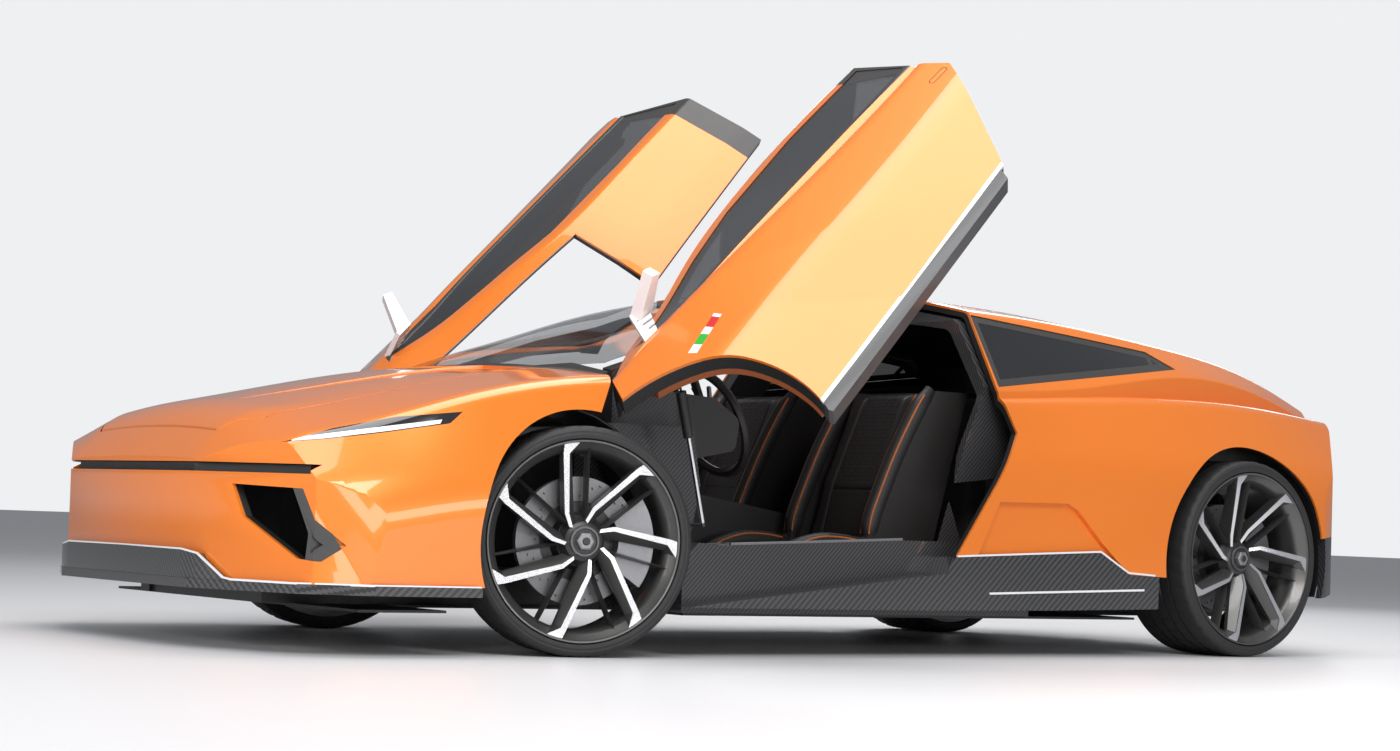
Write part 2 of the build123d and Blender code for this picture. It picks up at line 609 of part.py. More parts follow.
# ------------------------------------------------------------------ carbon tub
FLOOR_Z = 130
FLOOR_TOP = 148
TUB_FRONT_X = 1000
TUB_REAR_X = -620
SILL_INNER_Y = 600
TUB_SILL = [(830, FLOOR_Z), (830, 300), (770, 345), (673, 339), (-81, 372), (-236, 372),
            (TUB_REAR_X, 372), (TUB_REAR_X, FLOOR_Z)]
A_POST = [(860, FLOOR_Z), (745, 300), (700, 520), (735, 700), (1215, 700), (1241, 340)]
A_POST_HEAD = [(735, 640), (742, 800), (800, 870), (985, 850), (985, 640)]
B_HOOP_Y = 745                                          # half width of the hoop behind the seats
B_HOOP = [(-236, 330), (-356, 690), (-434, 870), (-470, 1130), (-440, 1300), (TUB_REAR_X, 1300),
          (TUB_REAR_X, 330)]
with BuildPart() as roof_frame:
    add(TUB_OUTER)
    add(TUB_INNER, mode=Mode.SUBTRACT)
    with BuildPart(mode=Mode.PRIVATE) as frame_zone:
        add(side_prism(B_HOOP, -B_HOOP_Y, B_HOOP_Y))
        add(plan_prism([(300, -165), (300, 165), (-500, 240), (-500, -240)], 900, TOP_Z))
        add(plan_prism([(300, -600), (300, 600), (235, 600), (235, -600)], 1000, TOP_Z))
        for pillar in both(plan_prism([(985, 604), (985, 554), (240, 500), (240, 570)], 820, TOP_Z)):
            add(pillar)
    add(frame_zone.part, mode=Mode.INTERSECT)
with BuildPart() as tub:
    add(roof_frame.part)
    with BuildSketch(Plane.XY.offset(FLOOR_Z)):
        with Locations(((TUB_FRONT_X + TUB_REAR_X) / 2, 0)):
            Rectangle(TUB_FRONT_X - TUB_REAR_X, 2 * 440)
        with Locations(((820 + TUB_REAR_X) / 2, 0)):
            Rectangle(820 - TUB_REAR_X, 2 * 700)
    extrude(amount=FLOOR_TOP - FLOOR_Z)
    for sill in both(side_prism(TUB_SILL, SILL_INNER_Y, TUB_SIDE_Y)):
        add(sill)
    with BuildPart(mode=Mode.PRIVATE) as a_post:
        add(side_prism(A_POST, 570, A_POST_Y))
        add(side_prism(A_POST_HEAD, 570, 612))
        add(across(FRONT_ARCH[0], FRONT_ARCH[1], FRONT_ARCH[2] + HOUSING_EXTRA + SEAT_CLEAR, 300, FAR_Y),
            mode=Mode.SUBTRACT)
        add(TUB_OUTER, mode=Mode.INTERSECT)
    for post in both(a_post.part):
        add(post)
    with BuildSketch(Plane.YZ.offset(770)):             # cross wall behind the wheel housings
        with Locations((0, 365)):
            Rectangle(2 * 660, 470)
            Rectangle(2 * 420, 472, mode=Mode.SUBTRACT)
    extrude(amount=20)
    for stud in both(across(STRUT_FOOT[0], STRUT_FOOT[2], STRUT_STUD, A_POST_Y - 5, STRUT_FOOT[1])):
        add(stud)
    for ball in both(Pos(*STRUT_FOOT) * Sphere(STRUT_BALL, mode=Mode.PRIVATE)):
        add(ball)
    with BuildSketch(Plane.YZ.offset(TUB_FRONT_X - 20)):  # front wall of the foot well
        with Locations((0, 370)):
            Rectangle(2 * 440, 480)
    extrude(amount=20)
    for wall in both(side_prism([(780, FLOOR_Z), (TUB_FRONT_X, FLOOR_Z), (TUB_FRONT_X, 600), (780, 600)],
                                420, 440)):
        add(wall)
    with BuildSketch(Plane.YZ.offset(TUB_REAR_X)):      # rear wall of the cabin
        with Locations((0, 500)):
            Rectangle(2 * 700, 740)
    extrude(amount=20)
save(tub.part, "tub")

with BuildPart() as undertray:
    with BuildSketch(Plane.XY.offset(FLOOR_Z - 8)):
        Rectangle(3900, 2 * 800)
        with Locations((1241, 700), (1241, -700), (-1547, 700), (-1547, -700)):
            Rectangle(2 * 420, 500, mode=Mode.SUBTRACT)
    extrude(amount=8 - SEAT_CLEAR)
save(undertray.part, "undertray")

TRUNK = (1640, 620, 620, 380)                           # middle x, length, width, depth
with BuildPart() as front_trunk:
    with Locations((TRUNK[0], 0, RAIL_TOP + SEAT_CLEAR + TRUNK[3] / 2)):
        Box(TRUNK[1], TRUNK[2], TRUNK[3])
    offset(amount=-6, openings=front_trunk.faces().sort_by(Axis.Z)[-1])
    with BuildPart(mode=Mode.PRIVATE) as rests:          # posts that the closed bonnet rests on
        with Locations((TRUNK[0], 0, RAIL_TOP + TRUNK[3] + 250)):
            with GridLocations(TRUNK[1] - 30, TRUNK[2] - 30, 2, 2):
                Box(30, 30, 520)
        add(lower_body(PANEL + SEAT_CLEAR, True), mode=Mode.INTERSECT)
    add(rests.part)
save(front_trunk.part, "front_trunk")

# ------------------------------------------------------------------ cabin
DASH_HALF = 569.6
with BuildPart() as dashboard:
    with BuildSketch(Plane.XZ.offset(DASH_HALF)):
        with BuildLine():
            FilletPolyline((470, 640), (455, 740), (560, 805), (960, 830), (975, 700), (620, 610),
                           radius=30, close=True)
        make_face()
    extrude(amount=-2 * DASH_HALF)
save(dashboard.part, "dashboard")

with BuildPart() as console:
    with BuildSketch(Plane.XZ.offset(95)):
        with BuildLine():
            FilletPolyline((-420, FLOOR_TOP + SEAT_CLEAR), (-420, 430), (-100, 450), (380, 520), (640, 600),
                           (760, 600), (760, FLOOR_TOP + SEAT_CLEAR), radius=20, close=True)
        make_face()
    extrude(amount=-190)
save(console.part, "console")

SEAT_Y = 370
SEAT_HALF = 225
SEAT_SIDE = [(290, 170), (300, 260), (-170, 235), (-210, 250), (-430, 880), (-500, 880), (-330, 240),
             (-260, 170)]
BOLSTER = 24                                            # thickness of a seat's side wall
BOLSTER_SIDE = [(290, 170), (300, 320), (80, 385), (-70, 375), (-130, 470), (-210, 640), (-360, 880),
                (-500, 880), (-330, 240), (-260, 170)]
with BuildPart() as seat_shell:
    with BuildSketch(Plane.XZ.offset(-(SEAT_Y - SEAT_HALF))):
        Polygon(*SEAT_SIDE, align=None)
    extrude(amount=-2 * SEAT_HALF)
    for side in (SEAT_Y - SEAT_HALF, SEAT_Y + SEAT_HALF - BOLSTER):
        add(side_prism(BOLSTER_SIDE, side, side + BOLSTER))
    with BuildSketch(Plane.XY.offset(FLOOR_TOP + SEAT_CLEAR)):
        with Locations((30, SEAT_Y)):
            with GridLocations(380, 400, 2, 2):
                Rectangle(60, 40)
    extrude(amount=40)
save(Compound(both(seat_shell.part)), "seat_shells")

PAD_Y = 190                                             # half width of a seat pad
CUSHION = [(285, 259.6), (270, 330), (-120, 330), (-165, 235.7)]
BACKREST = [(-210.6, 253), (-130, 334), (-190, 560), (-330, 880), (-429.6, 880)]
with BuildPart() as seat_cushion:
    with BuildSketch(Plane.XZ.offset(-(SEAT_Y - PAD_Y))):
        with BuildLine():
            FilletPolyline(*CUSHION, radius=18, close=True)
        make_face()
    extrude(amount=-2 * PAD_Y)
save(Compound(both(seat_cushion.part)), "seat_cushions")
with BuildPart() as seat_back:
    with BuildSketch(Plane.XZ.offset(-(SEAT_Y - PAD_Y))):
        with BuildLine():
            FilletPolyline(*BACKREST, radius=14, close=True)
        make_face()
    extrude(amount=-2 * PAD_Y)
save(Compound(both(seat_back.part)), "seat_backs")

with BuildPart() as rear_shelf:
    with BuildSketch(Plane.XZ.offset(-590)):
        Polygon((TUB_REAR_X + 20 + SEAT_CLEAR, FLOOR_TOP + SEAT_CLEAR),
                (TUB_REAR_X + 20 + SEAT_CLEAR, 840), (-560, 840), (-520, 480), (-505, 380),
                (-505, FLOOR_TOP + SEAT_CLEAR), align=None)
    extrude(amount=1180)
save(rear_shelf.part, "rear_shelf")

# steering wheel: centre, radius, rake of its column
WHEEL_CENTRE = (430, 370, 735)
WHEEL_RADIUS = 178
COLUMN_RAKE = 24
COLUMN_PLANE = Plane(origin=WHEEL_CENTRE, x_dir=(0, 1, 0),
                     z_dir=(-cos(radians(COLUMN_RAKE)), 0, sin(radians(COLUMN_RAKE))))
with BuildPart() as steering_wheel:
    with BuildSketch(COLUMN_PLANE):
        Circle(50)
        with Locations((0, 0)):
            Rectangle(2 * (WHEEL_RADIUS - 8), 34)
        with Locations((0, -WHEEL_RADIUS / 2)):
            Rectangle(30, WHEEL_RADIUS - 8)
    extrude(amount=-14)
    with BuildSketch(Plane(origin=COLUMN_PLANE.origin, x_dir=COLUMN_PLANE.x_dir,
                           z_dir=COLUMN_PLANE.y_dir)):
        with Locations((WHEEL_RADIUS, 0)):
            RegularPolygon(15, 6)
    revolve(axis=Axis(COLUMN_PLANE.origin, COLUMN_PLANE.z_dir))
save(steering_wheel.part, "steering_wheel")
with BuildPart() as steering_column:
    with BuildSketch(COLUMN_PLANE.offset(-14 - SEAT_CLEAR)):
        Circle(24)
    extrude(amount=-90)
    add(dashboard.part, mode=Mode.SUBTRACT)
save(steering_column.part, "steering_column")

# ------------------------------------------------------------------ drive and chassis
ENGINE = (-1000, 760, 560, 430)                         # middle x, length, width, height
with BuildPart() as engine:
    with Locations((ENGINE[0], 0, RAIL_TOP + SEAT_CLEAR + ENGINE[3] / 2)):
        Box(ENGINE[1], ENGINE[2], ENGINE[3])
    fillet(engine.edges().filter_by(Axis.X), radius=40)
save(engine.part, "engine")

ARM_REACH = 90                                          # height of an upright above and below the hub
ARM_SECTION = (30, 22)
ARM_Z = ARM_REACH + ARM_SECTION[1] / 2 + SEAT_CLEAR      # height of the arms above and below it


def chassis_rails(x_front, x_rear, y, hub_x, hub_z, kingpin_y):
    """Rails, cross members and the wishbones that reach both uprights of an axle."""
    with BuildPart() as frame:
        with BuildSketch(Plane.XY.offset(FLOOR_Z)):
            for side in (1, -1):
                with Locations(((x_front + x_rear) / 2, side * y)):
                    Rectangle(x_front - x_rear, 60)
            for x in (x_front - 40, hub_x + 160, hub_x - 160):
                with Locations((x, 0)):
                    Rectangle(60, 2 * y)
        extrude(amount=RAIL_TOP - FLOOR_Z)
        for side in (1, -1):
            for x in (hub_x + 160, hub_x - 160):        # towers that carry the upper arms
                with Locations((x, side * (y + 5), (RAIL_TOP + hub_z + ARM_REACH + 40) / 2)):
                    Box(44, 30, hub_z + ARM_REACH + 40 - RAIL_TOP)
            for z in (hub_z + ARM_Z, hub_z - ARM_Z):
                with BuildSketch(Plane.XY.offset(z - ARM_SECTION[1] / 2)):
                    for x in (hub_x + 160, hub_x - 160):
                        with BuildLine():
                            Polyline((x - 15, side * y), (x + 15, side * y), (hub_x + 15, side * kingpin_y),
                                     (hub_x - 15, side * kingpin_y), close=True)
                        make_face()
                    with Locations((hub_x, side * kingpin_y)):
                        Circle(24)
                extrude(amount=ARM_SECTION[1])
    return frame.part


FRONT_RAIL_Y = 380
REAR_RAIL_Y = 400
front_frame = chassis_rails(2050, TUB_FRONT_X + SEAT_CLEAR, FRONT_RAIL_Y, FRONT_AXLE_X, FRONT_TYRE_RADIUS,
                            KINGPIN_Y)
save(front_frame, "front_subframe")
rear_frame = chassis_rails(TUB_REAR_X - SEAT_CLEAR, -1925, REAR_RAIL_Y, REAR_AXLE_X, REAR_TYRE_RADIUS,
                           REAR_UPRIGHT_Y)
save(rear_frame, "rear_subframe")


# ------------------------------------------------------------------ wheels, built round the Y axis
def tyre_solid(radius, width, rim_radius):
    """Tyre with its outer face at y = 0."""
    with BuildPart() as tyre:
        with BuildSketch(Plane.XY):
            with BuildLine():
                Polyline((rim_radius + SEAT_CLEAR, -9), (rim_radius + 14, 0), (radius - 10, -6), (radius, -26),
                         (radius, 26 - width), (radius - 10, 6 - width), (rim_radius + SEAT_CLEAR, 9 - width),
                         close=True)
            make_face()
        revolve(axis=Axis.Y)
    return tyre.part


HUB_BORE = 31
STUB_RADIUS = HUB_BORE - SEAT_CLEAR
# spokes as shares of the rim radius: towards the nose, and outwards from the hub
SPOKE_MAIN = [(0.085, 1.0), (-0.085, 1.0), (0.03, 0.87), (0.085, 0.30), (0.02, 0.14), (0.16, 0.16),
              (0.19, 0.30), (0.105, 0.88)]
SPOKE_TWIN = [(-0.18, 0.96), (-0.215, 0.95), (-0.10, 0.29), (-0.14, 0.14), (-0.04, 0.14), (-0.055, 0.29)]


def rim_solid(width, rim_radius, recess):
    """Rim with twin spokes, its outer lip near y = 0 and its hub face at y = -recess."""
    with BuildPart() as rim:
        with BuildSketch(Plane.XY):
            Polygon((rim_radius, -8), (rim_radius, 8 - width), (rim_radius - 16, 8 - width),
                    (rim_radius - 16, -8), align=None)
        revolve(axis=Axis.Y)
        with BuildSketch(Plane.XZ.offset(recess + 12)):
            Circle(78)
            for turn in range(SPOKES):
                angle = turn * 360 / SPOKES - SPOKE_PHASE
                for outline in (SPOKE_MAIN, SPOKE_TWIN):
                    with Locations(Location((0, 0, 0), (0, 0, angle))):
                        Polygon(*[(x * rim_radius, z * rim_radius) for x, z in outline], align=None)
            Circle(rim_radius - 8, mode=Mode.INTERSECT)
            Circle(HUB_BORE, mode=Mode.SUBTRACT)
        extrude(amount=30)
        with BuildSketch(Plane.XZ.offset(recess + 12)):
            Circle(HUB_BORE)
        extrude(amount=8)
    return rim.part


DISC_RADIUS = 190
DISC_WIDTH = 32
CALIPER_LIP = 27                                        # how far a caliper reaches past the disc


def disc_solid(recess, disc_y):
    """Brake disc with its bell, bolted to the inner face of the rim's hub."""
    with BuildPart() as disc:
        with BuildSketch(Plane.XY):
            hub_y = -(recess + 42 + SEAT_CLEAR)
            Polygon((HUB_BORE, hub_y), (74, hub_y), (74, -disc_y), (DISC_RADIUS, -disc_y),
                    (DISC_RADIUS, -disc_y - DISC_WIDTH), (60, -disc_y - DISC_WIDTH),
                    (HUB_BORE, hub_y - 10), align=None)
        revolve(axis=Axis.Y)
    return disc.part


def upright_solid(recess, disc_y, width):
    """Upright with its stub axle and the brake caliper, left side."""
    with BuildPart() as upright:
        back = disc_y + DISC_WIDTH + 14
        with BuildSketch(Plane.XZ.offset(recess + 24)):
            Circle(STUB_RADIUS)
        extrude(amount=back - recess - 24)
        with BuildSketch(Plane.XZ.offset(back)):
            Circle(70)
            Rectangle(60, 2 * ARM_REACH)
        extrude(amount=36)
        with BuildSketch(Plane.XZ.offset(disc_y - CALIPER_LIP)):   # caliper on the rear side of the disc
            with BuildLine():
                arc = CenterArc((0, 0), DISC_RADIUS + 40, 145, 70)
                CenterArc((0, 0), DISC_RADIUS - 70, 145, 70)
                Line(arc @ 0, PolarLine((0, 0), DISC_RADIUS - 70, 145, mode=Mode.PRIVATE) @ 1)
                Line(arc @ 1, PolarLine((0, 0), DISC_RADIUS - 70, 215, mode=Mode.PRIVATE) @ 1)
            make_face()
        extrude(amount=DISC_WIDTH + 2 * CALIPER_LIP)
        with BuildSketch(Plane.XZ.offset(disc_y - GAP)):
            Circle(DISC_RADIUS + GAP)
        extrude(amount=DISC_WIDTH + 2 * GAP, mode=Mode.SUBTRACT)
        with BuildSketch(Plane.XZ.offset(recess + 24)):
            Circle(STUB_RADIUS)
        extrude(amount=back - recess - 24)
        with BuildSketch(Plane.XZ.offset(back)):          # ears that carry the caliper
            with Locations((-(DISC_RADIUS - 60) / 2 - 30, 0)):
                Rectangle(DISC_RADIUS - 60, 60)
        extrude(amount=22)
    return upright.part


FRONT_DISC_Y = 75
REAR_DISC_Y = 150
FRONT_RECESS = 0
AXLES = {
    "front": (FRONT_AXLE_X, FRONT_WHEEL_Y, FRONT_TYRE_RADIUS, FRONT_TYRE_WIDTH, FRONT_RIM_RADIUS, FRONT_RECESS,
              FRONT_DISC_Y),
    "rear": (REAR_AXLE_X, REAR_WHEEL_Y, REAR_TYRE_RADIUS, REAR_TYRE_WIDTH, REAR_RIM_RADIUS, HUB_X_BACK,
             REAR_DISC_Y),
}
for axle, (x, y, radius, width, rim_radius, recess, disc_y) in AXLES.items():
    pieces = {
        "tyre": tyre_solid(radius, width, rim_radius),
        "rim": rim_solid(width, rim_radius, recess),
        "brake_disc": disc_solid(recess, disc_y),
        "upright": upright_solid(recess, disc_y, width),
    }
    for name, solid in pieces.items():
        left = Pos(x, y, radius) * solid
        right = mirrored(left)
        if axle == "front":
            left = left.rotate(Axis((FRONT_AXLE_X, KINGPIN_Y, 0), (0, 0, 1)), STEER_REST)
            right = right.rotate(Axis((FRONT_AXLE_X, -KINGPIN_Y, 0), (0, 0, 1)), STEER_REST)
        save(left, f"{name}_{axle}_left")
        save(right, f"{name}_{axle}_right")

# ------------------------------------------------------------------ gas struts of the doors
TUBE_LENGTH = 215
ROD_ENGAGED = 25
TUBE_NECK = 70
NECK_RADIUS = 4
HEAD_ROOM = 13                                          # the open pivot's room in mid travel
strut_plane = Plane(origin=STRUT_FOOT, z_dir=Vector(*STRUT_HEAD) - Vector(*STRUT_FOOT))
strut_length = (Vector(*STRUT_HEAD) - Vector(*STRUT_FOOT)).length
with BuildPart() as strut_rod:
    with BuildSketch(strut_plane.offset(STRUT_BALL + SEAT_CLEAR)):
        Circle(STRUT_ROD)
    extrude(amount=strut_length - TUBE_LENGTH + ROD_ENGAGED - STRUT_BALL)
with BuildPart() as strut_tube:
    with BuildSketch(strut_plane.offset(strut_length - TUBE_LENGTH)):
        Circle(STRUT_TUBE)
        Circle(STRUT_ROD + SEAT_CLEAR, mode=Mode.SUBTRACT)
    extrude(amount=TUBE_LENGTH - TUBE_NECK)
    with BuildSketch(strut_plane.offset(strut_length - TUBE_NECK)):
        Circle(NECK_RADIUS)
    extrude(amount=TUBE_NECK - STRUT_BALL - HEAD_ROOM)
for name, solid in (("strut_rod", strut_rod.part), ("strut_tube", strut_tube.part)):
    save(solid, name + "_left")
    save(mirrored(solid), name + "_right")
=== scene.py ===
"""Supercar: smooth painted panels, detailed wheels, cabin, glass and lamps round the CAD frame."""
import math
import bmesh
import bpy
import numpy as np
from mathutils import Matrix, Vector
from mathutils.geometry import tessellate_polygon


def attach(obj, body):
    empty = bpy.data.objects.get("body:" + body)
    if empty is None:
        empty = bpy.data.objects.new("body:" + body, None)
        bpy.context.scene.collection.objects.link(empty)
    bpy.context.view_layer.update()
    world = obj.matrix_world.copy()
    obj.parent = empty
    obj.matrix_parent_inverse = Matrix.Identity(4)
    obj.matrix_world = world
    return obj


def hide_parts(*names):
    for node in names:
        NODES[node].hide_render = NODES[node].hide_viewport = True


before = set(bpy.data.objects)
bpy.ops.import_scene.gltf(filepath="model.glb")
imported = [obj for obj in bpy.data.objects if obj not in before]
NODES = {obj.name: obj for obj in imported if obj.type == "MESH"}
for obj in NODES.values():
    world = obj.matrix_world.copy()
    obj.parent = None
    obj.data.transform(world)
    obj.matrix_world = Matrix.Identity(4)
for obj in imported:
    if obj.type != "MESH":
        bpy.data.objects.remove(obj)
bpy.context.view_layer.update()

MM = 0.001

# -------------------- shared sizes, mm
PANEL = 28                      # thickness of the body's panels
GAP = 6                         # between a lid and its opening
SEAT = 0.4                      # clearance of panes, lamps and linings
INLAY = 2                       # depth of the stripes and lines in the paint
PAINT_DEPTH = 9                 # below this a panel is black
DOOR_PAINT_DEPTH = 12
GLASS_OUT, GLASS_IN = 3, 8      # both faces of the panes, below the outer surface
DOOR_THICK, ROOF_THICK = 64, 34
LINING_IN = 90                  # inner face of the door's lining
NOSE_X = 2306
TAIL_X = -2306
FAR_Y = 1000                    # beyond the flanks
TOP_Z = 1500                    # beyond the roof
CABIN_Z = 700                   # lower end of cuts through the roof
WINDOW_Y = 400                  # inner ends of cuts through a side
LAMP_Y = 450
FLANK_Y = 600
SCOOP_Y = 700
DOOR_Y = 150
HINGE = Vector((960, 680, 890)) * MM
HINGE_DIRECTION = Vector((1.292, 1.0, -0.581)).normalized()
DOOR_OPEN = math.radians(67.45)
STEER_REST = math.radians(-15.7)
FRONT_ARCH = (1241, 340, 388)   # x, z and radius
REAR_ARCH = (-1547, 335, 408)
SPLITTER_TOP = 199.5
BUMPER_TOP_Z = 503
NOSE_EDGE_Z = 530
HEADER_X = 262
COWL_X = 1226
SPINE_X, SPINE_FRONT, SPINE_BACK = -529, 188, 262   # the roof between the doors
COARSE = 40                     # distance between the stations of a hull
FINE = 14
CROWN_STEPS = 14                # points from its shoulder to the centre line
NOSE_CUT = (1700, 2400)         # x of cuts from the front

# Lower body. Columns: station x; half width and height of the bottom corner, of the
# flank, of the crest and of the valley inboard of it; height on the centre line.
BODY = [
    (2300, 800, 190, 850, 400, 700, 490, 400, 520, 526),
    (2200, 835, 180, 868, 410, 722, 572, 420, 636, 652),
    (2020, 880, 165, 900, 430, 762, 636, 470, 704, 736),
    (1640, 905, 150, 928, 460, 820, 748, 520, 784, 818),
    (1225, 912, 145, 934, 500, 800, 826, 560, 858, 880),
    (700, 905, 145, 908, 560, 812, 850, 560, 856, 864),
    (-100, 900, 150, 904, 600, 815, 862, 560, 806, 812),
    (-620, 908, 155, 908, 640, 815, 884, 560, 826, 832),
    (-1150, 930, 165, 938, 640, 815, 908, 560, 860, 866),
    (-1600, 935, 175, 950, 640, 806, 908, 560, 872, 880),
    (-2000, 925, 220, 935, 620, 775, 880, 520, 868, 876),
    (-2330, 880, 300, 885, 620, 720, 852, 460, 864, 872),
]
# Canopy. Columns: station x; half width and height of the belt, of the roof rail and of
# the roof inboard of it; height of the roof on the centre line.
CANOPY = [
    (1360, 700, 640, 640, 688, 420, 770, 800),
    (1100, 792, 806, 748, 844, 430, 896, 918),
    (800, 800, 836, 694, 946, 400, 1000, 1018),
    (540, 804, 848, 636, 1042, 370, 1090, 1104),
    (276, 806, 858, 588, 1118, 350, 1160, 1174),
    (-100, 806, 868, 580, 1158, 350, 1198, 1212),
    (-500, 803, 883, 586, 1163, 350, 1208, 1222),
    (-900, 786, 920, 604, 1146, 350, 1196, 1210),
    (-1400, 740, 985, 612, 1098, 350, 1150, 1166),
    (-1850, 690, 950, 596, 1030, 340, 1078, 1094),
    (-2330, 600, 830, 560, 880, 330, 912, 924),
]
CANOPY_FLOOR = 400
PLAN = [
    (NOSE_X, 0), (NOSE_X - 2, 405), (2114, 832), (1930, 905), (1700, 960),
    (-1900, 960), (-2030, 905), (-2155, 777), (-2262, 500), (TAIL_X, 0),
]
NOSE_SIDE = [(2286, 531), (2305, 503), (2272, 413), (2262, 350), (2266, 300), (2266, 60)]
TAIL_SIDE = [(-2170, 60), (-2195, 300), (TAIL_X, 395), (-2288, 500), (-2270, 700),
             (-2280, 850), (-2266, 905), (-2120, TOP_Z)]
DOOR_SIDE = [
    (1181, 722), (1112, 838), (1040, 880), (650, 1250), (-150, 1400), (-505, 1280),
    (-500, 1163), (-448, 883), (-486, 740), (-190, 313), (893, 192), (930, 150), (1300, 300),
]


# -------------------- smooth tables
def spline_columns(rows, stations):
    """Natural cubic splines through every column of a table, evaluated at the stations."""
    table = np.array(sorted(rows), float)
    x = table[:, 0]
    values = table[:, 1:]
    step = np.diff(x)
    n = len(x)
    matrix = np.zeros((n, n))
    right = np.zeros((n, values.shape[1]))
    matrix[0, 0] = matrix[-1, -1] = 1
    for i in range(1, n - 1):
        matrix[i, i - 1:i + 2] = step[i - 1], 2 * (step[i - 1] + step[i]), step[i]
        bend = (values[i + 1] - values[i]) / step[i] - (values[i] - values[i - 1]) / step[i - 1]
        right[i] = 6 * bend
    second = np.linalg.solve(matrix, right)
    out = []
    for s in stations:
        i = int(np.clip(np.searchsorted(x, s) - 1, 0, n - 2))
        h = step[i]
        a = (x[i + 1] - s) / h
        b = (s - x[i]) / h
        out.append(a * values[i] + b * values[i + 1]
                   + ((a ** 3 - a) * second[i] + (b ** 3 - b) * second[i + 1]) * h * h / 6)
    return np.array(out)


def filleted(points, wished, straight, turn):
    """Points along a line with rounded corners: a fixed count on each run and each arc."""
    points = [np.array(p, float) for p in points]
    line = []
    start = points[0]
    for before, corner, after, radius in zip(points, points[1:], points[2:], wished):
        run_in = corner - before
        run_out = after - corner
        length_in, length_out = np.linalg.norm(run_in), np.linalg.norm(run_out)
        d_in, d_out = run_in / length_in, run_out / length_out
        half = math.acos(float(np.clip(d_in @ d_out, -1, 1))) / 2
        reach = min(radius * math.tan(half), 0.45 * min(length_in, length_out))
        p, q = corner - d_in * reach, corner + d_out * reach
        for t in np.linspace(0, 1, straight, endpoint=False):
            line.append(start + (p - start) * t)
        for t in np.linspace(0, 1, turn, endpoint=False):     # a round arc as a rational curve
            w = math.cos(half)
            weight = (1 - t) ** 2 + 2 * t * (1 - t) * w + t * t
            line.append(((1 - t) ** 2 * p + 2 * t * (1 - t) * w * corner + t * t * q) / weight)
        start = q
    for t in np.linspace(0, 1, straight, endpoint=False):
        line.append(start + (points[-1] - start) * t)
    line.append(points[-1])
    return line


def crown(start, top):
    """Arc from start through (0, top) on the centre line, without its first point."""
    y, z = start
    rise = top - z
    shares = np.linspace(0, 1, CROWN_STEPS + 1)[1:]
    if abs(rise) < 1e-3:
        return [(y * (1 - t), z) for t in shares]
    radius = (y * y + rise * rise) / (2 * rise)
    centre = top - radius
    side = 1 if radius > 0 else -1
    return [(y * (1 - t), centre + side * math.sqrt(radius * radius - (y * (1 - t)) ** 2))
            for t in shares]


def mesh_object(name, vertices, faces):
    data = bpy.data.meshes.new(name)
    data.from_pydata([tuple(v) for v in vertices], [], faces)
    data.validate()
    data.update()
    return bpy.data.objects.new(name, data)


def fix_normals(obj):
    mesh = bmesh.new()
    mesh.from_mesh(obj.data)
    bmesh.ops.recalc_face_normals(mesh, faces=mesh.faces[:])
    mesh.to_mesh(obj.data)
    mesh.free()
    return obj


def bands(rings, size, wrap=False):
    """Quads between neighbouring rings; wrap joins the last ring to the first."""
    faces = []
    for i in range(rings if wrap else rings - 1):
        a, b = i * size, (i + 1) % rings * size
        for j in range(size):
            k = (j + 1) % size
            faces.append((a + j, a + k, b + k, b + j))
    return faces


def grid_hull(name, rings):
    """Closed mesh through rings of equal length, with flat ends."""
    rings = np.array(rings)
    n, m = rings.shape[:2]
    faces = bands(n, m) + [tuple(range(m))[::-1], tuple((n - 1) * m + j for j in range(m))]
    return fix_normals(mesh_object(name, rings.reshape(-1, 3), faces))


def smoothstep(a, b, v):
    t = np.clip((v - a) / (b - a), 0, 1)
    return t * t * (3 - 2 * t)


def lofted(name, table, step, section):
    """Hull through a table's stations; section turns a row into the left half's corners."""
    stations = np.arange(table[-1][0], table[0][0] + 0.1, step)
    rings = []
    for x, row in zip(stations, spline_columns(table, stations)):
        corners, radii, straight, turn, top = section(*row)
        half = [tuple(p) for p in filleted(corners, radii, straight, turn)]
        half += crown(half[-1], top)
        ring = half + [(-y, z) for y, z in reversed(half[:-1])]
        rings.append([(x * MM, y * MM, z * MM) for y, z in ring])
    return grid_hull(name, rings)


def lower_body(inset, open_bottom=True, step=FINE):
    """Everything below the belt; an open bottom reaches down past the outer one."""
    def section(y_low, z_low, y_flank, z_flank, y_crest, z_crest, y_valley, z_valley, z_mid):
        corners = [(y_low - inset, z_low - 80 if open_bottom else z_low),
                   (y_flank - inset, z_flank), (y_crest - inset * 0.8, z_crest - inset),
                   (y_valley, z_valley - inset)]
        return corners, (320, 62), 8, 12, z_mid - inset
    return lofted("lower", BODY, step, section)


def canopy(inset, step=FINE):
    """Windows and roof."""
    def section(y_belt, z_belt, y_rail, z_rail, y_roof, z_roof, z_mid):
        corners = [(y_belt - inset, CANOPY_FLOOR), (y_belt - inset, z_belt - inset * 0.2),
                   (y_rail - inset * 0.7, z_rail - inset * 0.75), (y_roof, z_roof - inset)]
        return corners, (12, 46), 6, 8, z_mid - inset
    return lofted("canopy", CANOPY, step, section)


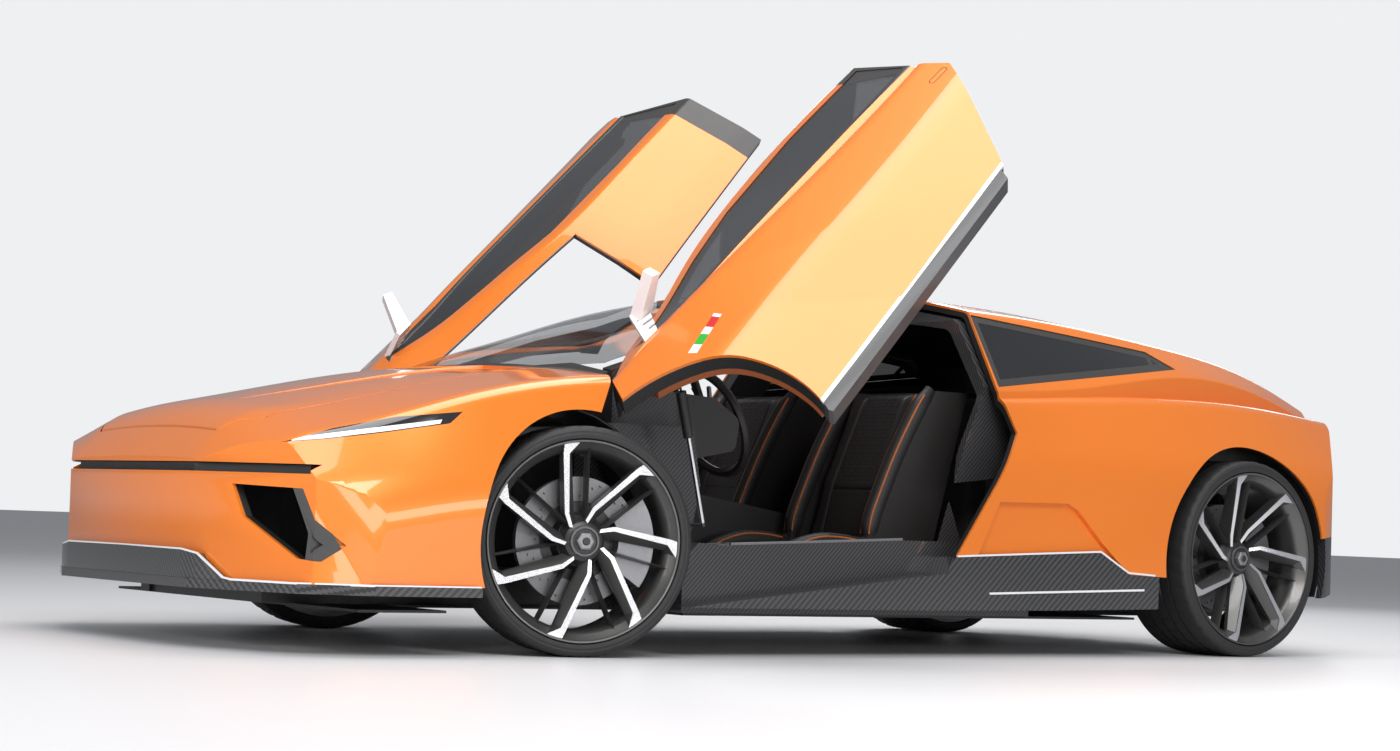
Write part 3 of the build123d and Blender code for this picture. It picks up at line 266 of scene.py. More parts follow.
# -------------------- cutters and booleans
def inset_outline(points, distance):
    """Outline with every side moved inwards by distance, sides kept parallel."""
    pts = [np.array(p, float) for p in points]
    area = sum(a[0] * b[1] - a[1] * b[0] for a, b in zip(pts, pts[1:] + pts[:1]))
    sign = 1 if area > 0 else -1
    out = []
    for i, p in enumerate(pts):
        d1 = p - pts[i - 1]
        d2 = pts[(i + 1) % len(pts)] - p
        n1 = np.array([-d1[1], d1[0]]) / np.linalg.norm(d1) * sign
        n2 = np.array([-d2[1], d2[0]]) / np.linalg.norm(d2) * sign
        bisector = n1 + n2
        out.append(tuple(p + bisector * distance * 2 / max(bisector @ bisector, 0.3)))
    return out


# where an outline's a and b and the level go in (x, y, z)
AXIS_ORDER = {"X": (2, 0, 1), "Y": (0, 2, 1), "Z": (0, 1, 2)}


def prism(points, low, high, axis, inset=0.0):
    """Solid with an outline in the two other axes, from low to high along axis (mm)."""
    if inset:
        points = inset_outline(points, inset)
    n = len(points)
    vertices = [Vector([(a, b, level)[i] for i in AXIS_ORDER[axis]]) * MM
                for level in (low, high) for a, b in points]
    faces = []
    for tri in tessellate_polygon([[Vector((a, b, 0)) for a, b in points]]):
        faces.append(tuple(tri))
        faces.append(tuple(i + n for i in reversed(tri)))
    for i in range(n):
        j = (i + 1) % n
        faces.append((i, j, j + n, i + n))
    return fix_normals(mesh_object("cutter", vertices, faces))


def side_prism(points, y_from, y_to=FAR_Y, inset=0.0):
    return prism(points, y_from, y_to, "Y", inset)


def plan_prism(points, z_from, z_to=TOP_Z, inset=0.0):
    return prism(points, z_from, z_to, "Z", inset)


def front_prism(points, x_range=NOSE_CUT):
    return prism(points, *x_range, "X")


def circle_points(x, z, radius, count=96):
    return [(x + radius * math.cos(t), z + radius * math.sin(t))
            for t in np.linspace(0, 2 * math.pi, count, endpoint=False)]


def rectangle(left, right, low, high):
    return [(left, low), (right, low), (right, high), (left, high)]


def twin_plan(left):
    """Plan outline from its left half, whose ends lie off the centre line."""
    return left + [(x, -y) for x, y in reversed(left)]


def flipped(obj):
    """Mirror image on the other side of the car."""
    data = obj.data.copy()
    data.transform(Matrix.Diagonal((1, -1, 1, 1)))
    data.flip_normals()
    return bpy.data.objects.new(obj.name, data)


def both(obj):
    return [obj, flipped(obj)]


def turn_about(point, angle, axis):
    """Matrix of a turn about an axis through a point in metres."""
    return (Matrix.Translation(point) @ Matrix.Rotation(angle, 4, axis)
            @ Matrix.Translation(-point))


def link(*objects):
    for obj in objects:
        bpy.context.scene.collection.objects.link(obj)


def evaluated_mesh(obj):
    """Mesh of a linked object with its modifiers applied."""
    bpy.context.view_layer.update()
    graph = bpy.context.evaluated_depsgraph_get()
    return bpy.data.meshes.new_from_object(obj.evaluated_get(graph))


def boolean(operation, base, tools):
    """New object: base combined with every tool."""
    for tool in tools:
        work = bpy.data.objects.new(base.name, base.data.copy())
        cutter = bpy.data.objects.new("tool", tool.data)
        link(work, cutter)
        modifier = work.modifiers.new("cut", "BOOLEAN")
        modifier.operation = operation
        modifier.solver = "MANIFOLD"
        modifier.object = cutter
        data = evaluated_mesh(work)
        bpy.data.objects.remove(work)
        bpy.data.objects.remove(cutter)
        if not data.polygons:
            print("EMPTY boolean", base.name, operation)
        base = bpy.data.objects.new(base.name, data)
    return base


def keep(base, *tools):
    return boolean("INTERSECT", base, tools)


def cut(base, *tools):
    return boolean("DIFFERENCE", base, tools)


def fuse(base, *tools):
    return boolean("UNION", base, tools)


def outline_block(inset):
    """Room inside the car's outline in plan and from the side."""
    plan = PLAN + [(x, -y) for x, y in reversed(PLAN[1:-1])]
    side = [(2286, TOP_Z)] + NOSE_SIDE + TAIL_SIDE
    return keep(plan_prism(plan, 20, inset=inset), side_prism(side, -FAR_Y, inset=inset))


def hull(body_inset, canopy_inset, open_bottom=True, step=FINE):
    whole = fuse(lower_body(body_inset, open_bottom, step), canopy(canopy_inset, step))
    return keep(whole, outline_block(min(body_inset, 40)))


def with_material(obj, *materials):
    obj.data.materials.clear()
    for material in materials:
        obj.data.materials.append(material)
    return obj


def finish_piece(obj, name, body, material, nodes=(), sharp=28):
    """Names a piece, shades it, puts it in the scene, and ties it to its body."""
    obj.name = name
    obj.data.name = name
    if material:
        with_material(obj, material)
    obj.data.shade_smooth()
    obj.data.set_sharp_from_angle(angle=math.radians(sharp))
    link(obj)
    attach(obj, body)
    if nodes:
        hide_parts(*nodes)


def finish_pair(obj, name, material, nodes=()):
    """A piece of the fixed body with its mirror image."""
    finish_piece(fuse(*both(obj)), name, "car", material, nodes)


def lathe(profile, count, *materials):
    """Ring about Y through (radius, y) points in mm."""
    vertices = []
    for i in range(count):
        t = 2 * math.pi * i / count
        for radius, y in profile:
            vertices.append((radius * math.cos(t) * MM, y * MM, radius * math.sin(t) * MM))
    ring = mesh_object("ring", vertices, bands(count, len(profile), wrap=True))
    return with_material(ring, *materials)


def joined(name, parts):
    """One object of several, each keeping its own material."""
    data = bpy.data.meshes.new(name)
    mesh = bmesh.new()
    for part in parts:
        slot_start = len(data.materials)
        for material in part.data.materials:
            data.materials.append(material)
        before = len(mesh.faces)
        mesh.from_mesh(part.data)
        mesh.faces.ensure_lookup_table()
        for face in mesh.faces[before:]:
            face.material_index += slot_start
    mesh.to_mesh(data)
    mesh.free()
    return bpy.data.objects.new(name, data)


def sections(rows):
    """Solid bar through closed sections, each a list of (x, y, z) points in mm."""
    n = len(rows[0])
    vertices = [tuple(c * MM for c in point) for row in rows for point in row]
    ends = [tuple(range(n)), tuple(n * (len(rows) - 1) + j for j in reversed(range(n)))]
    return fix_normals(mesh_object("bar", vertices, bands(len(rows), n) + ends))


# -------------------- materials
def feed(node, **inputs):
    """Sets a shader node's inputs to values or sockets, with _ for a space in a name."""
    for key, value in inputs.items():
        target = node.inputs[key.replace("_", " ")]
        if isinstance(value, bpy.types.NodeSocket):
            node.id_data.links.new(value, target)
        else:
            target.default_value = value
    return node


def add_node(tree, kind, data_type=None, **inputs):
    node = tree.nodes.new("ShaderNode" + kind)
    if data_type:
        node.data_type = data_type
    return feed(node, **inputs)


def new_material(name, **inputs):
    """A material, its node tree, and its Principled node with some inputs set."""
    made = bpy.data.materials.new(name)
    made.use_nodes = True
    return made, made.node_tree, feed(made.node_tree.nodes["Principled BSDF"], **inputs)


def vary(principled, factor, colours, roughness):
    """Colour and roughness that run from a first value to a second with the factor."""
    tree = principled.id_data
    mix = add_node(tree, "Mix", "RGBA", A=(*colours[0], 1), B=(*colours[1], 1), Factor=factor)
    ramp = add_node(tree, "MapRange", To_Min=roughness[0], To_Max=roughness[1], Value=factor)
    feed(principled, Base_Color=mix.outputs["Result"], Roughness=ramp.outputs["Result"])


def emboss(principled, height, strength, distance):
    relief = add_node(principled.id_data, "Bump", Strength=strength, Distance=distance,
                      Height=height)
    feed(principled, Normal=relief.outputs["Normal"])


def shader(name, colour, roughness, metallic=0.0, other=None, scale=40.0, spread=0.06,
           bump=0.0, bump_scale=600.0, coat=0.0):
    """Principled material whose colour and roughness wander slightly over the surface."""
    made, tree, principled = new_material(name, Metallic=metallic, Specular_IOR_Level=0.5,
                                          Coat_Weight=coat, Coat_Roughness=0.04)
    where = add_node(tree, "TexCoord").outputs["Object"]
    noise = add_node(tree, "TexNoise", Scale=scale, Detail=4, Vector=where).outputs["Fac"]
    vary(principled, noise, (colour, other or tuple(c * 0.82 for c in colour)),
         (max(roughness - spread, 0.02), roughness + spread))
    if bump:
        fine = add_node(tree, "TexNoise", Scale=bump_scale, Detail=3, Vector=where)
        emboss(principled, fine.outputs["Fac"], bump, 0.001)
    return made


def twill(name, light, pitch):
    """Carbon twill: tows pass over two and under two, shifted by one on every row."""
    made, tree, principled = new_material(name, Coat_Weight=0.6, Coat_Roughness=0.06)

    def calculate(operation, a, b=0.0):
        node = add_node(tree, "Math")
        node.operation = operation
        for target, value in zip(node.inputs, (a, b)):
            if isinstance(value, float):
                target.default_value = value
            else:
                tree.links.new(value, target)
        return node.outputs[0]

    where = add_node(tree, "TexCoord").outputs["Object"]
    x, y, z = add_node(tree, "SeparateXYZ", Vector=where).outputs
    across = calculate("MULTIPLY", calculate("ADD", x, y), 1 / pitch)
    slanted = calculate("ADD", z, calculate("MULTIPLY", y, 0.5))
    upward = calculate("MULTIPLY", slanted, 1 / pitch)
    cells = calculate("ADD", calculate("FLOOR", across), calculate("FLOOR", upward))
    over = calculate("LESS_THAN", calculate("FLOORED_MODULO", cells, 4.0), 2.0)
    vary(principled, over, ((0.012, 0.012, 0.013), light), (0.32, 0.48))
    emboss(principled, over, 0.25, 0.0006)
    return made


def glass(name, tint, see_through, coat=1.0):
    """Tinted glass: a glossy skin over a share of plain transparency."""
    made, tree, principled = new_material(name, Coat_Weight=coat, Coat_Roughness=0.02,
                                          Specular_IOR_Level=0.5 * coat, Alpha=1 - see_through)
    noise = add_node(tree, "TexNoise", Scale=3.0).outputs["Fac"]
    vary(principled, noise, (tint, tuple(c * 0.8 for c in tint)), (0.02, 0.04))
    return made


PAINT = shader("paint_orange", (0.93, 0.235, 0.016), 0.3, 0.25, other=(0.86, 0.2, 0.012),
               scale=900, spread=0.03, bump=0.02, bump_scale=2500, coat=1.0)
CARBON = twill("carbon_twill", (0.055, 0.056, 0.06), 0.006)
CARBON_FINE = twill("carbon_fine", (0.06, 0.06, 0.064), 0.004)
BLACK = shader("plastic_black", (0.014, 0.014, 0.015), 0.45, scale=60, bump=0.25, bump_scale=900)
GLOSS_BLACK = shader("gloss_black", (0.01, 0.01, 0.011), 0.12, scale=30, spread=0.03, coat=0.8)
GREY_TRIM = shader("trim_grey", (0.055, 0.053, 0.052), 0.42, scale=50, bump=0.15, bump_scale=1200)
FRAME_GREY = shader("window_frame", (0.04, 0.037, 0.035), 0.38, scale=50, bump=0.05, coat=0.2)
RUBBER = shader("rubber", (0.02, 0.02, 0.021), 0.62, scale=80, bump=0.3, bump_scale=1400)
TREAD = shader("rubber_tread", (0.016, 0.016, 0.016), 0.75, scale=120, bump=0.5, bump_scale=1100)
WHITE = shader("white_gloss", (0.8, 0.8, 0.81), 0.25, scale=20, spread=0.03, coat=0.6,
               other=(0.76, 0.76, 0.78))
MACHINED = shader("machined_alloy", (0.86, 0.86, 0.87), 0.22, 0.9, scale=300,
                  other=(0.78, 0.78, 0.8), bump=0.05, bump_scale=3000)
RIM_GREY = shader("rim_grey", (0.14, 0.137, 0.133), 0.36, 0.75, scale=200, coat=0.3, bump=0.05,
                  bump_scale=2500)
DARK_METAL = shader("dark_metal", (0.06, 0.06, 0.062), 0.4, 0.7, scale=120, bump=0.1)
STEEL = shader("brushed_steel", (0.2, 0.2, 0.205), 0.38, 0.85, scale=160, bump=0.12,
               bump_scale=1500)
SATIN = shader("satin_alloy", (0.3, 0.3, 0.31), 0.42, 0.7, scale=90, bump=0.15, bump_scale=1000)
CHROME = shader("chrome", (0.75, 0.75, 0.77), 0.1, 1.0, scale=30, spread=0.03)
CLEAR_GLASS = glass("screen_glass", (0.02, 0.024, 0.027), 0.55, 0.25)
DARK_GLASS = glass("dark_glass", (0.014, 0.015, 0.017), 0.22)
RED = shader("stripe_red", (0.62, 0.02, 0.02), 0.3, scale=60, coat=0.6)
GREEN = shader("stripe_green", (0.03, 0.42, 0.03), 0.3, scale=60, coat=0.6)
LEATHER = shader("leather_black", (0.028, 0.026, 0.025), 0.46, scale=70, bump=0.55, bump_scale=700)
LEATHER_ORANGE = shader("leather_orange", (0.62, 0.16, 0.03), 0.5, scale=70, bump=0.5,
                        bump_scale=700)
TRIM_BROWN = shader("trim_brown", (0.32, 0.085, 0.022), 0.5, scale=60, bump=0.4, bump_scale=700)
LAMP_DARK = shader("lamp_dark", (0.016, 0.016, 0.018), 0.1, scale=40, spread=0.03, coat=1.0)
LAMP_WHITE = shader("lamp_white", (0.92, 0.93, 0.95), 0.2, scale=40, spread=0.03,
                    other=(0.86, 0.88, 0.92), coat=0.5)
LAMP_RED = shader("lamp_red", (0.45, 0.01, 0.01), 0.16, scale=40, spread=0.04, coat=1.0)
CARPET = shader("carpet", (0.03, 0.03, 0.031), 0.9, scale=200, bump=1.0, bump_scale=1500)

# -------------------- hulls and zones of the body
OUTER = hull(0, 0, open_bottom=False, step=10)
INNER = hull(PANEL, PANEL, step=COARSE)
CLAM = cut(OUTER, INNER)
GLASS_SHELL = cut(canopy(GLASS_OUT), canopy(GLASS_IN))
UNDER_INLAYS = hull(INLAY, INLAY, open_bottom=False, step=20)
PAINTED = hull(PAINT_DEPTH, PAINT_DEPTH, step=30)

DOOR_AREAS = both(side_prism(DOOR_SIDE, 0))
BONNET_LEFT = [(COWL_X, 300), (COWL_X - 14, 545), (2120, 520), (2214, 400)]
COWL_PLAN = plan_prism([(COWL_X, -300), (COWL_X, 300), (COWL_X - 20, 545), (1105, 760), (900, 760),
                        (900, -760), (1105, -760), (COWL_X - 20, -545)], CABIN_Z)
SCREEN_LEFT = [(1150, 420), (1030, 628), (HEADER_X, 523)]


def bonnet_plan(inset):
    return plan_prism(twin_plan(BONNET_LEFT), 480, inset=inset)


def screen_plan(inset):
    return plan_prism([(1175, 0)] + twin_plan(SCREEN_LEFT), CABIN_Z, inset=inset)


def arches(arch, extra=0):
    """Cutters for the wheels of one axle."""
    x, z, radius = arch
    return both(side_prism(circle_points(x, z, radius + extra), 470 - extra))


def outer_turned(point, angle, axis):
    """The outer hull turned about a line through a point in mm."""
    data = OUTER.data.copy()
    data.transform(turn_about(Vector(point) * MM, angle, axis))
    return bpy.data.objects.new("turned", data)


BUMPER = [(-812, BUMPER_TOP_Z), (812, BUMPER_TOP_Z), (884, SPLITTER_TOP), (-884, SPLITTER_TOP)]
BUMPER_ZONE = front_prism(BUMPER)
SLOT_ZONE = front_prism(rectangle(-812, 812, BUMPER_TOP_Z - 1, NOSE_EDGE_Z))
HEADLAMP = [(2168, 590), (2030, 634), (1850, 676), (1655, 700), (1700, 664), (1900, 628),
            (2060, 602)]
FRONT_SIDE = [(2400, TOP_Z), (1000, TOP_Z), (1000, 700), (1241, 340), (1560, SPLITTER_TOP),
              (2400, SPLITTER_TOP)]
INTAKE = [(560, 470), (790, 462), (866, 308), (840, 262), (780, 268), (600, 380)]
REAR_SIDE = [(HEADER_X, TOP_Z), (HEADER_X, 1040), (-180, 1040), (-180, 328), (-836, 352),
             (-969, 281), (-1139, 274), (-1960, 430), (-2400, 470), (-2400, TOP_Z)]
QUARTER_WINDOW = [(-500, 1150), (-462, 896), (-1400, 1016), (-1300, 1074)]
DIVIDER = [(-1296, 1110), (-1318, 1110), (-1272, 940), (-1250, 940)]
TAIL_SLOT = front_prism(rectangle(-710, 710, 789, 823), (-2400, -2100))
SCOOP = [(-380, 509), (-685, 514), (-731, 492), (-849, 379), (-969, 281), (-900, 200), (-250, 250)]
LIGHT_STRIP = [(2146, 594.5), (2060, 605), (1900, 631), (1730, 662), (1722, 674), (1900, 645),
               (2060, 617), (2140, 603)]
REAR_LOW = [(-1960, 429.6), (-2400, 469.6), (-2400, 100), (-1900, 100), (-1900, 418)]
FIN_SIDE = [(-1985, 140), (-2400, 210), (-2400, 400), (-2180, 400)]
HOLLOW = [(2046, 192), (1245, 270), (1245, 520), (1500, 470), (1760, 352)]


# -------------------- painted body
def painted_panel(obj, name, body, nodes, inside=PAINTED):
    """A body panel whose inner layer is black."""
    finish_piece(cut(obj, inside), name, body, PAINT, nodes)
    finish_piece(keep(obj, inside), name + "_inside", body, BLACK)


# the bonnet has two long hollows that open towards the screen
hollow = cut(plan_prism(HOLLOW, 500), outer_turned((2060, 0, 712), -0.0095, "Y"))
bonnet = cut(keep(CLAM, bonnet_plan(GAP / 2)), *both(hollow))
painted_panel(bonnet, "bonnet_panel", "bonnet", ["bonnet"])

wings = keep(CLAM, side_prism(FRONT_SIDE, -FAR_Y))
wings = cut(wings, *DOOR_AREAS, *arches(FRONT_ARCH), *both(side_prism(HEADLAMP, LAMP_Y)),
            bonnet_plan(-GAP / 2), COWL_PLAN, BUMPER_ZONE, SLOT_ZONE)
painted_panel(wings, "wing_panels", "car", ["front_wings"])

bumper = cut(keep(CLAM, BUMPER_ZONE), *both(front_prism(INTAKE)))
painted_panel(bumper, "bumper_panel", "car", ["front_bumper"])

spine = plan_prism([(HEADER_X, -SPINE_FRONT), (HEADER_X, SPINE_FRONT), (SPINE_X, SPINE_BACK),
                    (-800, SPINE_BACK), (-800, -SPINE_BACK), (SPINE_X, -SPINE_BACK)], CABIN_Z)
scoop = cut(side_prism(SCOOP, SCOOP_Y), lower_body(18, step=COARSE))
rear = keep(CLAM, side_prism(REAR_SIDE, -FAR_Y))
rear = cut(rear, *(cut(area, spine) for area in DOOR_AREAS), *arches(REAR_ARCH),
           *both(side_prism(QUARTER_WINDOW, WINDOW_Y)), TAIL_SLOT, *both(scoop))
painted_panel(rear, "rear_panels", "car", ["rear_clam"],
              cut(PAINTED, *both(side_prism(SCOOP, SCOOP_Y, inset=-12))))

# -------------------- lamps, cowl, diffuser, panes
lamps = keep(CLAM, side_prism(HEADLAMP, LAMP_Y, inset=SEAT))
strip_zone = cut(side_prism(LIGHT_STRIP, LAMP_Y), UNDER_INLAYS)
finish_pair(cut(lamps, strip_zone), "headlamp_lenses", LAMP_DARK, ["headlamps"])
finish_pair(keep(lamps, strip_zone), "daylight_strips", LAMP_WHITE)
finish_piece(keep(CLAM, TAIL_SLOT), "tail_lamp_bar", "car", LAMP_RED, ["tail_lamp"])

behind_cowl = plan_prism([(1085, -900), (1085, 900), (200, 900), (200, -900)], CABIN_Z)
cowl = keep(CLAM, cut(COWL_PLAN, screen_plan(0), behind_cowl, *DOOR_AREAS))
finish_piece(cowl, "cowl_panel", "car", BLACK, ["cowl"])

diffuser = cut(keep(CLAM, side_prism(REAR_LOW, -FAR_Y)), *arches(REAR_ARCH, 14.4))
finish_piece(diffuser, "diffuser_panel", "car", CARBON, ["diffuser"])
fins = [fin for y in (140, 420) for fin in both(side_prism(FIN_SIDE, y, y + 9))]
finish_piece(keep(joined("fins", fins), outline_block(PANEL / 2)), "diffuser_fins", "car", CARBON)

screen = cut(keep(GLASS_SHELL, screen_plan(SEAT)), lower_body(0, step=COARSE))
finish_piece(screen, "windscreen_glass", "car", CLEAR_GLASS, ["windscreen"])
quarter = keep(GLASS_SHELL, side_prism(QUARTER_WINDOW, WINDOW_Y, inset=SEAT))
quarter_pane = cut(side_prism(QUARTER_WINDOW, WINDOW_Y, inset=24), side_prism(DIVIDER, WINDOW_Y))
finish_pair(keep(quarter, quarter_pane), "quarter_windows", DARK_GLASS, ["quarter_glass"])
finish_pair(cut(quarter, quarter_pane), "quarter_window_frames", FRAME_GREY)

# -------------------- doors, made closed, then opened
WINDOW = [(940, 862), (800, 852), (-100, 884), (-436, 898), (-470, 1126), (-100, 1122),
          (276, 1082), (540, 1006), (800, 912)]
SCALLOP = [(755, 682), (412, 252), (340, 160), (-168, 160), (-168, 250), (-100, 300), (640, 850),
           (700, 850)]
DOOR_EDGE_LINE = [(900, 188), (-192, 310), (-192, 333), (900, 211)]
BELT = [(965, 874), (948, 848), (800, 838), (-100, 869), (-600, 874), (-600, 905), (-100, 886),
        (800, 854), (940, 866)]
REAR_FRAME = [(-396, 880), (-396, 1250), (-600, 1250), (-600, 880)]
END_FRAME = [(-412, 850), (-392, 1250), (-600, 1250), (-600, 850)]
EDGE_RELIEF = rectangle(-600, -432, 640, 905)
FLAG = [(763, 676), (930, 634), (940, 662), (768, 704)]
HANDLE_X, HANDLE_Z, HANDLE_HALF, HANDLE_RADIUS = -414, 738, 30, 12
HANDLE_POINTS = 24


def door_pair(obj, name, material, nodes=()):
    """Opens a closed left-hand piece about the hinge line and adds its mirror image."""
    left = bpy.data.objects.new(name, obj.data.copy())
    left.data.transform(turn_about(HINGE, DOOR_OPEN, HINGE_DIRECTION))
    for side, piece in zip(("_left", "_right"), both(left)):
        finish_piece(piece, name + side, "door" + side, material,
                     [node + side for node in nodes])


def flag_part(start, end, grow=0.0):
    """Part of the stripe between two shares of its length."""
    (ax, az), (bx, bz), (cx, cz), (dx, dz) = FLAG
    low = [(ax + (bx - ax) * t, az + (bz - az) * t - grow) for t in (start, end)]
    high = [(dx + (cx - dx) * t, dz + (cz - dz) * t + grow) for t in (end, start)]
    return cut(side_prism(low + high, FLANK_Y), UNDER_INLAYS)


def pill(inset):
    """Room of the flush handle."""
    radius = HANDLE_RADIUS - inset
    points = []
    for i in range(HANDLE_POINTS):
        t = 2 * math.pi * (i + 0.5) / HANDLE_POINTS
        points.append((HANDLE_X + math.copysign(HANDLE_HALF, math.cos(t)) + radius * math.cos(t),
                       HANDLE_Z + radius * math.sin(t)))
    return side_prism(points, FLANK_Y)


door_arch = side_prism(circle_points(FRONT_ARCH[0], FRONT_ARCH[1], FRONT_ARCH[2] + GAP), 0)
door_roof = plan_prism([(300, SPINE_FRONT + GAP), (HEADER_X, SPINE_FRONT + GAP),
                        (SPINE_X, SPINE_BACK + GAP), (-800, SPINE_BACK + GAP), (-800, -100),
                        (300, -100)], CABIN_Z)
door_zone = cut(side_prism(DOOR_SIDE, DOOR_Y, inset=GAP), door_arch, screen_plan(-GAP - 9),
                door_roof, keep(INNER, side_prism(EDGE_RELIEF, DOOR_Y)))
door_skin = cut(keep(OUTER, door_zone), hull(DOOR_THICK, ROOF_THICK, step=COARSE),
                side_prism(WINDOW, WINDOW_Y))
# flank drawn in behind the wing: the outer surface turned inwards about a line along the door
drawn_in = outer_turned((-100, 905, 300), -0.03, Vector((0.803, 0, 0.597)))
door_skin = cut(door_skin, cut(side_prism(SCALLOP, FLANK_Y), drawn_in))

edge_zone = side_prism(DOOR_EDGE_LINE, FLANK_Y)
frame_zone = fuse(side_prism(BELT, WINDOW_Y), side_prism(REAR_FRAME, 100))
handle_zone = cut(pill(0), pill(3), UNDER_INLAYS)
flag_zone = flag_part(0, 1)
red_zone = flag_part(0.08, 0.34, 1)
green_zone = flag_part(0.52, 0.78, 1)
inside = hull(DOOR_PAINT_DEPTH, DOOR_PAINT_DEPTH, step=30)
unframed = cut(door_skin, frame_zone)
door_pair(keep(unframed, inside), "door_inner_frame", BLACK)
door_pair(cut(door_skin, edge_zone, frame_zone, handle_zone, flag_zone, inside), "door_panel",
          PAINT, ["door_skin"])
door_pair(cut(keep(unframed, edge_zone), inside), "door_edge_line", WHITE)
door_pair(keep(door_skin, frame_zone), "door_window_frame", FRAME_GREY)
door_pair(keep(door_skin, handle_zone), "door_handle_outline", GLOSS_BLACK)
flag = keep(door_skin, flag_zone)
door_pair(cut(flag, red_zone, green_zone), "stripe_white", WHITE)
door_pair(keep(flag, red_zone), "stripe_red", RED)
door_pair(keep(flag, green_zone), "stripe_green", GREEN)

end_frame = side_prism(END_FRAME, 100)
door_glass = keep(GLASS_SHELL, side_prism(WINDOW, WINDOW_Y, inset=SEAT))
door_pair(cut(door_glass, end_frame), "door_window", DARK_GLASS, ["door_glass"])
door_pair(keep(door_glass, end_frame), "door_window_end", FRAME_GREY)
lining_zone = plan_prism([(1060, 753), (1060, 1000), (-600, 1000), (-600, 753)], 100, 815)
lining = cut(keep(door_zone, lining_zone, side_prism(DOOR_SIDE, DOOR_Y, inset=GAP + 12),
                  lower_body(DOOR_THICK + SEAT, step=COARSE)), lower_body(LINING_IN, step=COARSE))
door_pair(lining, "door_lining", TRIM_BROWN, ["door_trim"])


# -------------------- splitter and edge lines
def headed(path):
    """Each point of a path in mm, with the direction there."""
    last = len(path) - 1
    for i, point in enumerate(path):
        along = Vector(path[min(i + 1, last)]) - Vector(path[max(i - 1, 0)])
        yield Vector(point), along.normalized()


def swept(name, path, half, material=WHITE):
    """Slim square bar along a path, on both sides of the car."""
    rows = []
    for point, along in headed(path):
        side = along.cross(Vector((0, 0, 1))).normalized()
        up = side.cross(along)
        rows.append([tuple(point + side * a * half + up * b * half)
                     for a, b in ((1, 1), (-1, 1), (-1, -1), (1, -1))])
    finish_piece(joined(name, both(sections(rows))), name, "car", material)


def swept_back(x, y):
    """The splitter's front edge runs back outside its middle."""
    return x - max(0, y - 440) * 0.42


def on_flank(points, out=1.5):
    """Points (x, z) of a side view, put on the body's outer surface."""
    vertices = [v.co / MM for v in OUTER.data.vertices if v.co.y > 0.6]
    path = []
    for (ax, az), (bx, bz) in zip(points[:-1], points[1:]):
        for k in range(12):
            x, z = ax + (bx - ax) * k / 12, az + (bz - az) * k / 12
            near = min(vertices, key=lambda v: (v.x - x) ** 2 + (v.z - z) ** 2)
            path.append((x, near.y + out, z))
    return path


BEAK_FOOT = 199.6
BEAK = [(0, 280), (395, 278), (470, 268), (560, 204), (585, BEAK_FOOT)]     # y and top
beak_rows = []
for y, top in BEAK:
    front = swept_back(2303.5, y)
    beak_rows.append([(front, y, BEAK_FOOT), (front + 1, y, top), (front - 26, y, top + 1),
                      (front - 90, y, BEAK_FOOT)])
finish_piece(joined("beak", both(sections(beak_rows))), "splitter_beak", "car", CARBON)
swept("splitter_white_line",
      [(2301, 0, 281)] + [(swept_back(2301, y), y, top + 2) for y, top in BEAK[1:]]
      + [(2150, 808, 200.5), (1962, 911, 200.5), (1625, 926, 200.5)], 3)
swept("sill_white_line", on_flank([(-200, 327), (-836, 356), (-965, 287), (-1100, 279)], -1), 3)
swept("skirt_white_line", on_flank([(-344, 208), (-1100, 231)]), 3.5)

# -------------------- seats
SEAT_Y = 370
SEAT_HALF = 184                 # half width of the pads
SEAM_Y = 105                    # the long seams, off the middle of a seat
HEXAGON_ROWS = (560, 850)       # lowest and highest z
HEXAGON_TALL, HEXAGON_WIDE = 27.0, 31.0
BOLSTER_Y = 205
PIPING = 21                     # distance of the piping from the middle of a bolster
PAD_VOXEL, PAD_CAP = 8, 9
CLOTH_FRAMES = 20
SOFT = 60                       # soft pieces stay smooth up to this angle


def tube(path, radius, count=12, tall=1.0, taper=0.0):
    """Round bar along a path; tall stretches it off the path, taper thins its ends."""
    rows = []
    last = len(path) - 1
    for i, (point, along) in enumerate(headed(path)):
        out = along.cross(Vector((0, 1, 0))).normalized()
        side = out.cross(along)
        share = min(i, last - i) / max(last, 1) * 2
        size = radius * (1 - taper * (1 - smoothstep(0, 0.35, share)))
        rows.append([])
        for k in range(count):
            t = 2 * math.pi * k / count
            rows[-1].append(tuple(point + side * size * math.cos(t)
                                  + out * size * tall * math.sin(t)))
    return sections(rows)


def smooth_path(points, count):
    """Points along a smooth curve through the given ones."""
    pts = [np.array(p, float) for p in points]
    pts = [2 * pts[0] - pts[1]] + pts + [2 * pts[-1] - pts[-2]]
    out = []
    for i in range(1, len(pts) - 2):
        a, b, c, d = pts[i - 1:i + 3]
        for k in range(count):
            t = k / count
            out.append(tuple(0.5 * ((2 * b) + (c - a) * t + (2 * a - 5 * b + 4 * c - d) * t * t
                                    + (3 * b - a - 3 * c + d) * t ** 3)))
    out.append(tuple(pts[-2]))
    return out


